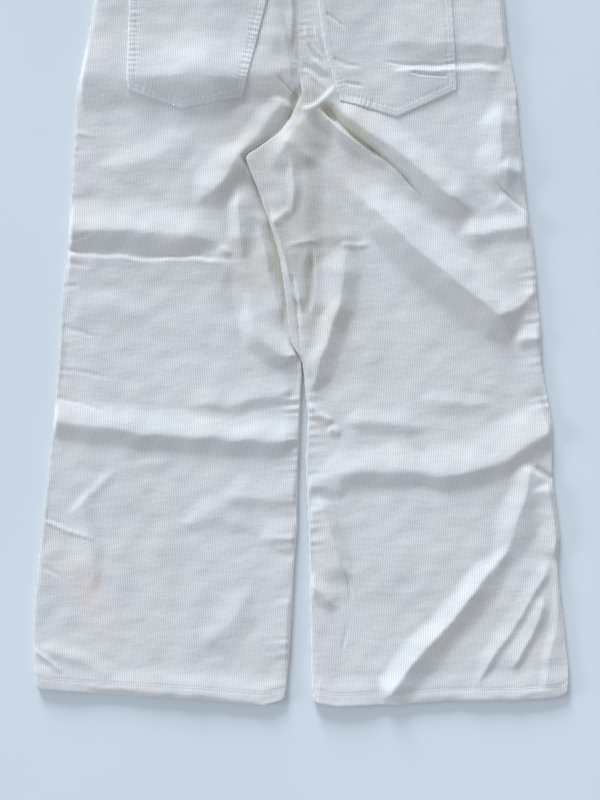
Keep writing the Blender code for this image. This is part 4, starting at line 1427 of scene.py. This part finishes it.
def corduroy(name, stained=False):
    """Cream corduroy: pile on the wales, darker ground in the grooves that is partly painted shade, nap,
    soil round the crotch that is partly painted shade, worn edges, and painted shade in narrow creases.
    """
    made = Nodes(name)
    grain = made.add("ShaderNodeAttribute", attribute_name="grain").outputs["Vector"]
    wale, along, wear_and_crease_shade = made.add("ShaderNodeSeparateXYZ", {0: grain}).outputs
    x, y, _ = made.add("ShaderNodeSeparateXYZ", {0: made.place}).outputs
    pile = made.ease(made.math("PINGPONG", wale, 0.5), 0.02, 0.30)
    fibres = made.vector(made.times(wale, PITCH), made.times(along, 0.55))
    fuzz = made.noise(fibres, 2.4, 3.0, 0.65)
    tufts = made.noise(fibres, 0.85, 2.0)
    cloud = made.noise(made.place, 22.0, 3.0)
    drift = made.noise(made.place, 7.0, 2.0)
    # The grooves' darker ground is partly painted shade
    colour = made.mix(made.times(pile, made.ease(tufts, 0.25, 0.7, 0.8, 1.0)), GROOVE_GROUND_AND_SHADE, CREAM)
    colour = made.mix(made.ease(wear_and_crease_shade, 0.0, 1.0, 0.0, 0.55), colour, WORN_CREAM)
    # Painted shade in narrow creases
    colour = made.tint(colour, CREASE_SHADE, made.ease(wear_and_crease_shade, -1.0, 0.0, 1.0, 0.0))
    light = made.plus(made.ease(fuzz, 0.25, 0.75, 0.93, 1.03), made.ease(cloud, 0.3, 0.7, -0.03, 0.025))
    colour = made.tint(colour, light)
    warm = made.plus(made.ease(drift, 0.35, 0.65, 0.0, 0.7), made.ease(cloud, 0.35, 0.65, -0.25, 0.35))
    colour = made.tint(colour, WARM, made.math("MAXIMUM", warm, 0.0))
    # Soil round the crotch, partly painted shade
    colour = made.tint(colour, CENTRE_SOIL_AND_SHADE, centre_soil_and_shade(made, x, y))
    if stained:
        colour = made.tint(colour, STAIN, shin_stain(made, x, y, cloud))
    stretched = made.add("ShaderNodeMapping", {0: made.place, 3: (0.45, 1.0, 1.0)}).outputs[0]
    height = made.plus(made.times(pile, 0.55), made.times(fuzz, 0.35))
    height = made.plus(height, made.times(made.noise(stretched, 170.0), 2.5))
    return made.finish(
        Base_Color=colour,
        Roughness=made.ease(fuzz, 0.2, 0.8, 0.84, 0.97),
        Normal=made.bump(height, 0.0003, 0.5),
        Sheen_Weight=0.25,
        Sheen_Roughness=0.45,
        Sheen_Tint=SHEEN,
        Specular_IOR_Level=0.2,
    )


def thread_finish():
    """Cream sewing thread with its twist."""
    made = Nodes("cream_thread")
    inputs = {"Vector": made.place, "Scale": 900.0, "Distortion": 1.5}
    twist = made.add("ShaderNodeTexWave", inputs, bands_direction="DIAGONAL").outputs["Fac"]
    return made.finish(
        # The twist's grooves take the grooves' darker colour, partly painted shade
        Base_Color=made.mix(made.ease(twist, 0.1, 0.9, 0.0, 0.3), THREAD, GROOVE_GROUND_AND_SHADE),
        Roughness=made.ease(twist, 0.0, 1.0, 0.55, 0.75),
        Normal=made.bump(twist, 0.0001, 0.5),
        Sheen_Weight=0.2,
    )


def button_finish():
    """Ivory button with faint clouding and a polished face."""
    made = Nodes("ivory_button")
    cloud = made.noise(made.place, 180.0, 4.0, 0.6)
    return made.finish(
        Base_Color=made.mix(made.ease(cloud, 0.3, 0.7), IVORY, DARK_IVORY),
        Roughness=made.ease(cloud, 0.2, 0.8, 0.28, 0.42),
        Normal=made.bump(cloud, 0.00005, 0.3),
        Coat_Weight=0.3,
        Coat_Roughness=0.15,
    )


def floor_finish():
    """A plain pale surface."""
    made = Nodes("pale_floor")
    cloud = made.noise(made.place, 1.2, 2.0)
    paler = (*(min(1.0, c * FLOOR_PALER) for c in FLOOR[:3]), 1.0)
    colour = made.mix(made.ease(cloud, 0.3, 0.7), FLOOR, paler)
    return made.finish(Base_Color=colour, Roughness=0.9, Specular_IOR_Level=0.1)


def build_floor():
    mesh = bpy.data.meshes.new("floor")
    corners = [(x * FLOOR_HALF, y * FLOOR_HALF, 0.0) for x, y in ((-1, -1), (1, -1), (1, 1), (-1, 1))]
    mesh.from_pydata(corners, [], [(0, 1, 2, 3)])
    mesh.materials.append(floor_finish())
    floor = add_object("floor", mesh)
    floor.location = (0.0, 0.0, -FLOOR_DROP * MM)


def build_light():
    """A soft low key from above the left shoulder, a weak one from the left, and an even fill."""
    for lamp in LAMPS:
        made = bpy.data.lights.new(lamp.name, "SUN")
        made.energy = lamp.energy
        made.angle = math.radians(lamp.angle)
        made.color = LAMP_COLOUR
        held = add_object(lamp.name, made)
        rise = math.tan(math.radians(lamp.elevation)) * math.hypot(*lamp.toward)
        held.rotation_mode = "QUATERNION"
        held.rotation_quaternion = Vector((*lamp.toward, rise)).to_track_quat("Z", "Y")
    world = bpy.data.worlds.new("fill")
    world.use_nodes = True
    background = world.node_tree.nodes["Background"]
    background.inputs["Color"].default_value = (*SKY_COLOUR, 1.0)
    background.inputs["Strength"].default_value = SKY_STRENGTH
    bpy.context.scene.world = world


def build_camera():
    """Straight above, with the photograph's frame on the cloth."""
    lens = bpy.data.cameras.new("camera")
    high = FRAME_H * PIXEL * MM
    lens.lens = lens.sensor_width * CAMERA_HEIGHT / high
    camera = add_object("camera", lens)
    x = (FRAME_W / 2.0 - ORIGIN_PX[0]) * PIXEL * MM
    y = (ORIGIN_PX[1] - FRAME_H / 2.0) * PIXEL * MM
    camera.location = (x, y, CAMERA_HEIGHT + CLOTH_LEVEL * MM)
    bpy.context.scene.camera = camera


def main():
    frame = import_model()
    build_camera()
    build_light()
    build_floor()
    cloth, stained = corduroy("cream_corduroy"), corduroy("cream_corduroy_stained", True)
    thread = thread_finish()
    build_left_front(cloth)
    build_right_front(cloth)
    build_left_back(stained)
    build_right_back(cloth)
    pocket_left = build_pocket("left", LEFT_POCKET, LEFT_SLANT, left_back, cloth)
    pocket_right = build_pocket("right", RIGHT_POCKET, RIGHT_SLANT, right_back, cloth)
    build_waistband(cloth)
    build_stitches(thread, pocket_left, pocket_right)
    build_button_thread(thread)
    button = frame["nodes"]["button"]
    for held in button.material_slots:
        held.material = button_finish()
    bpy.context.scene.view_settings.view_transform = "Standard"


main()
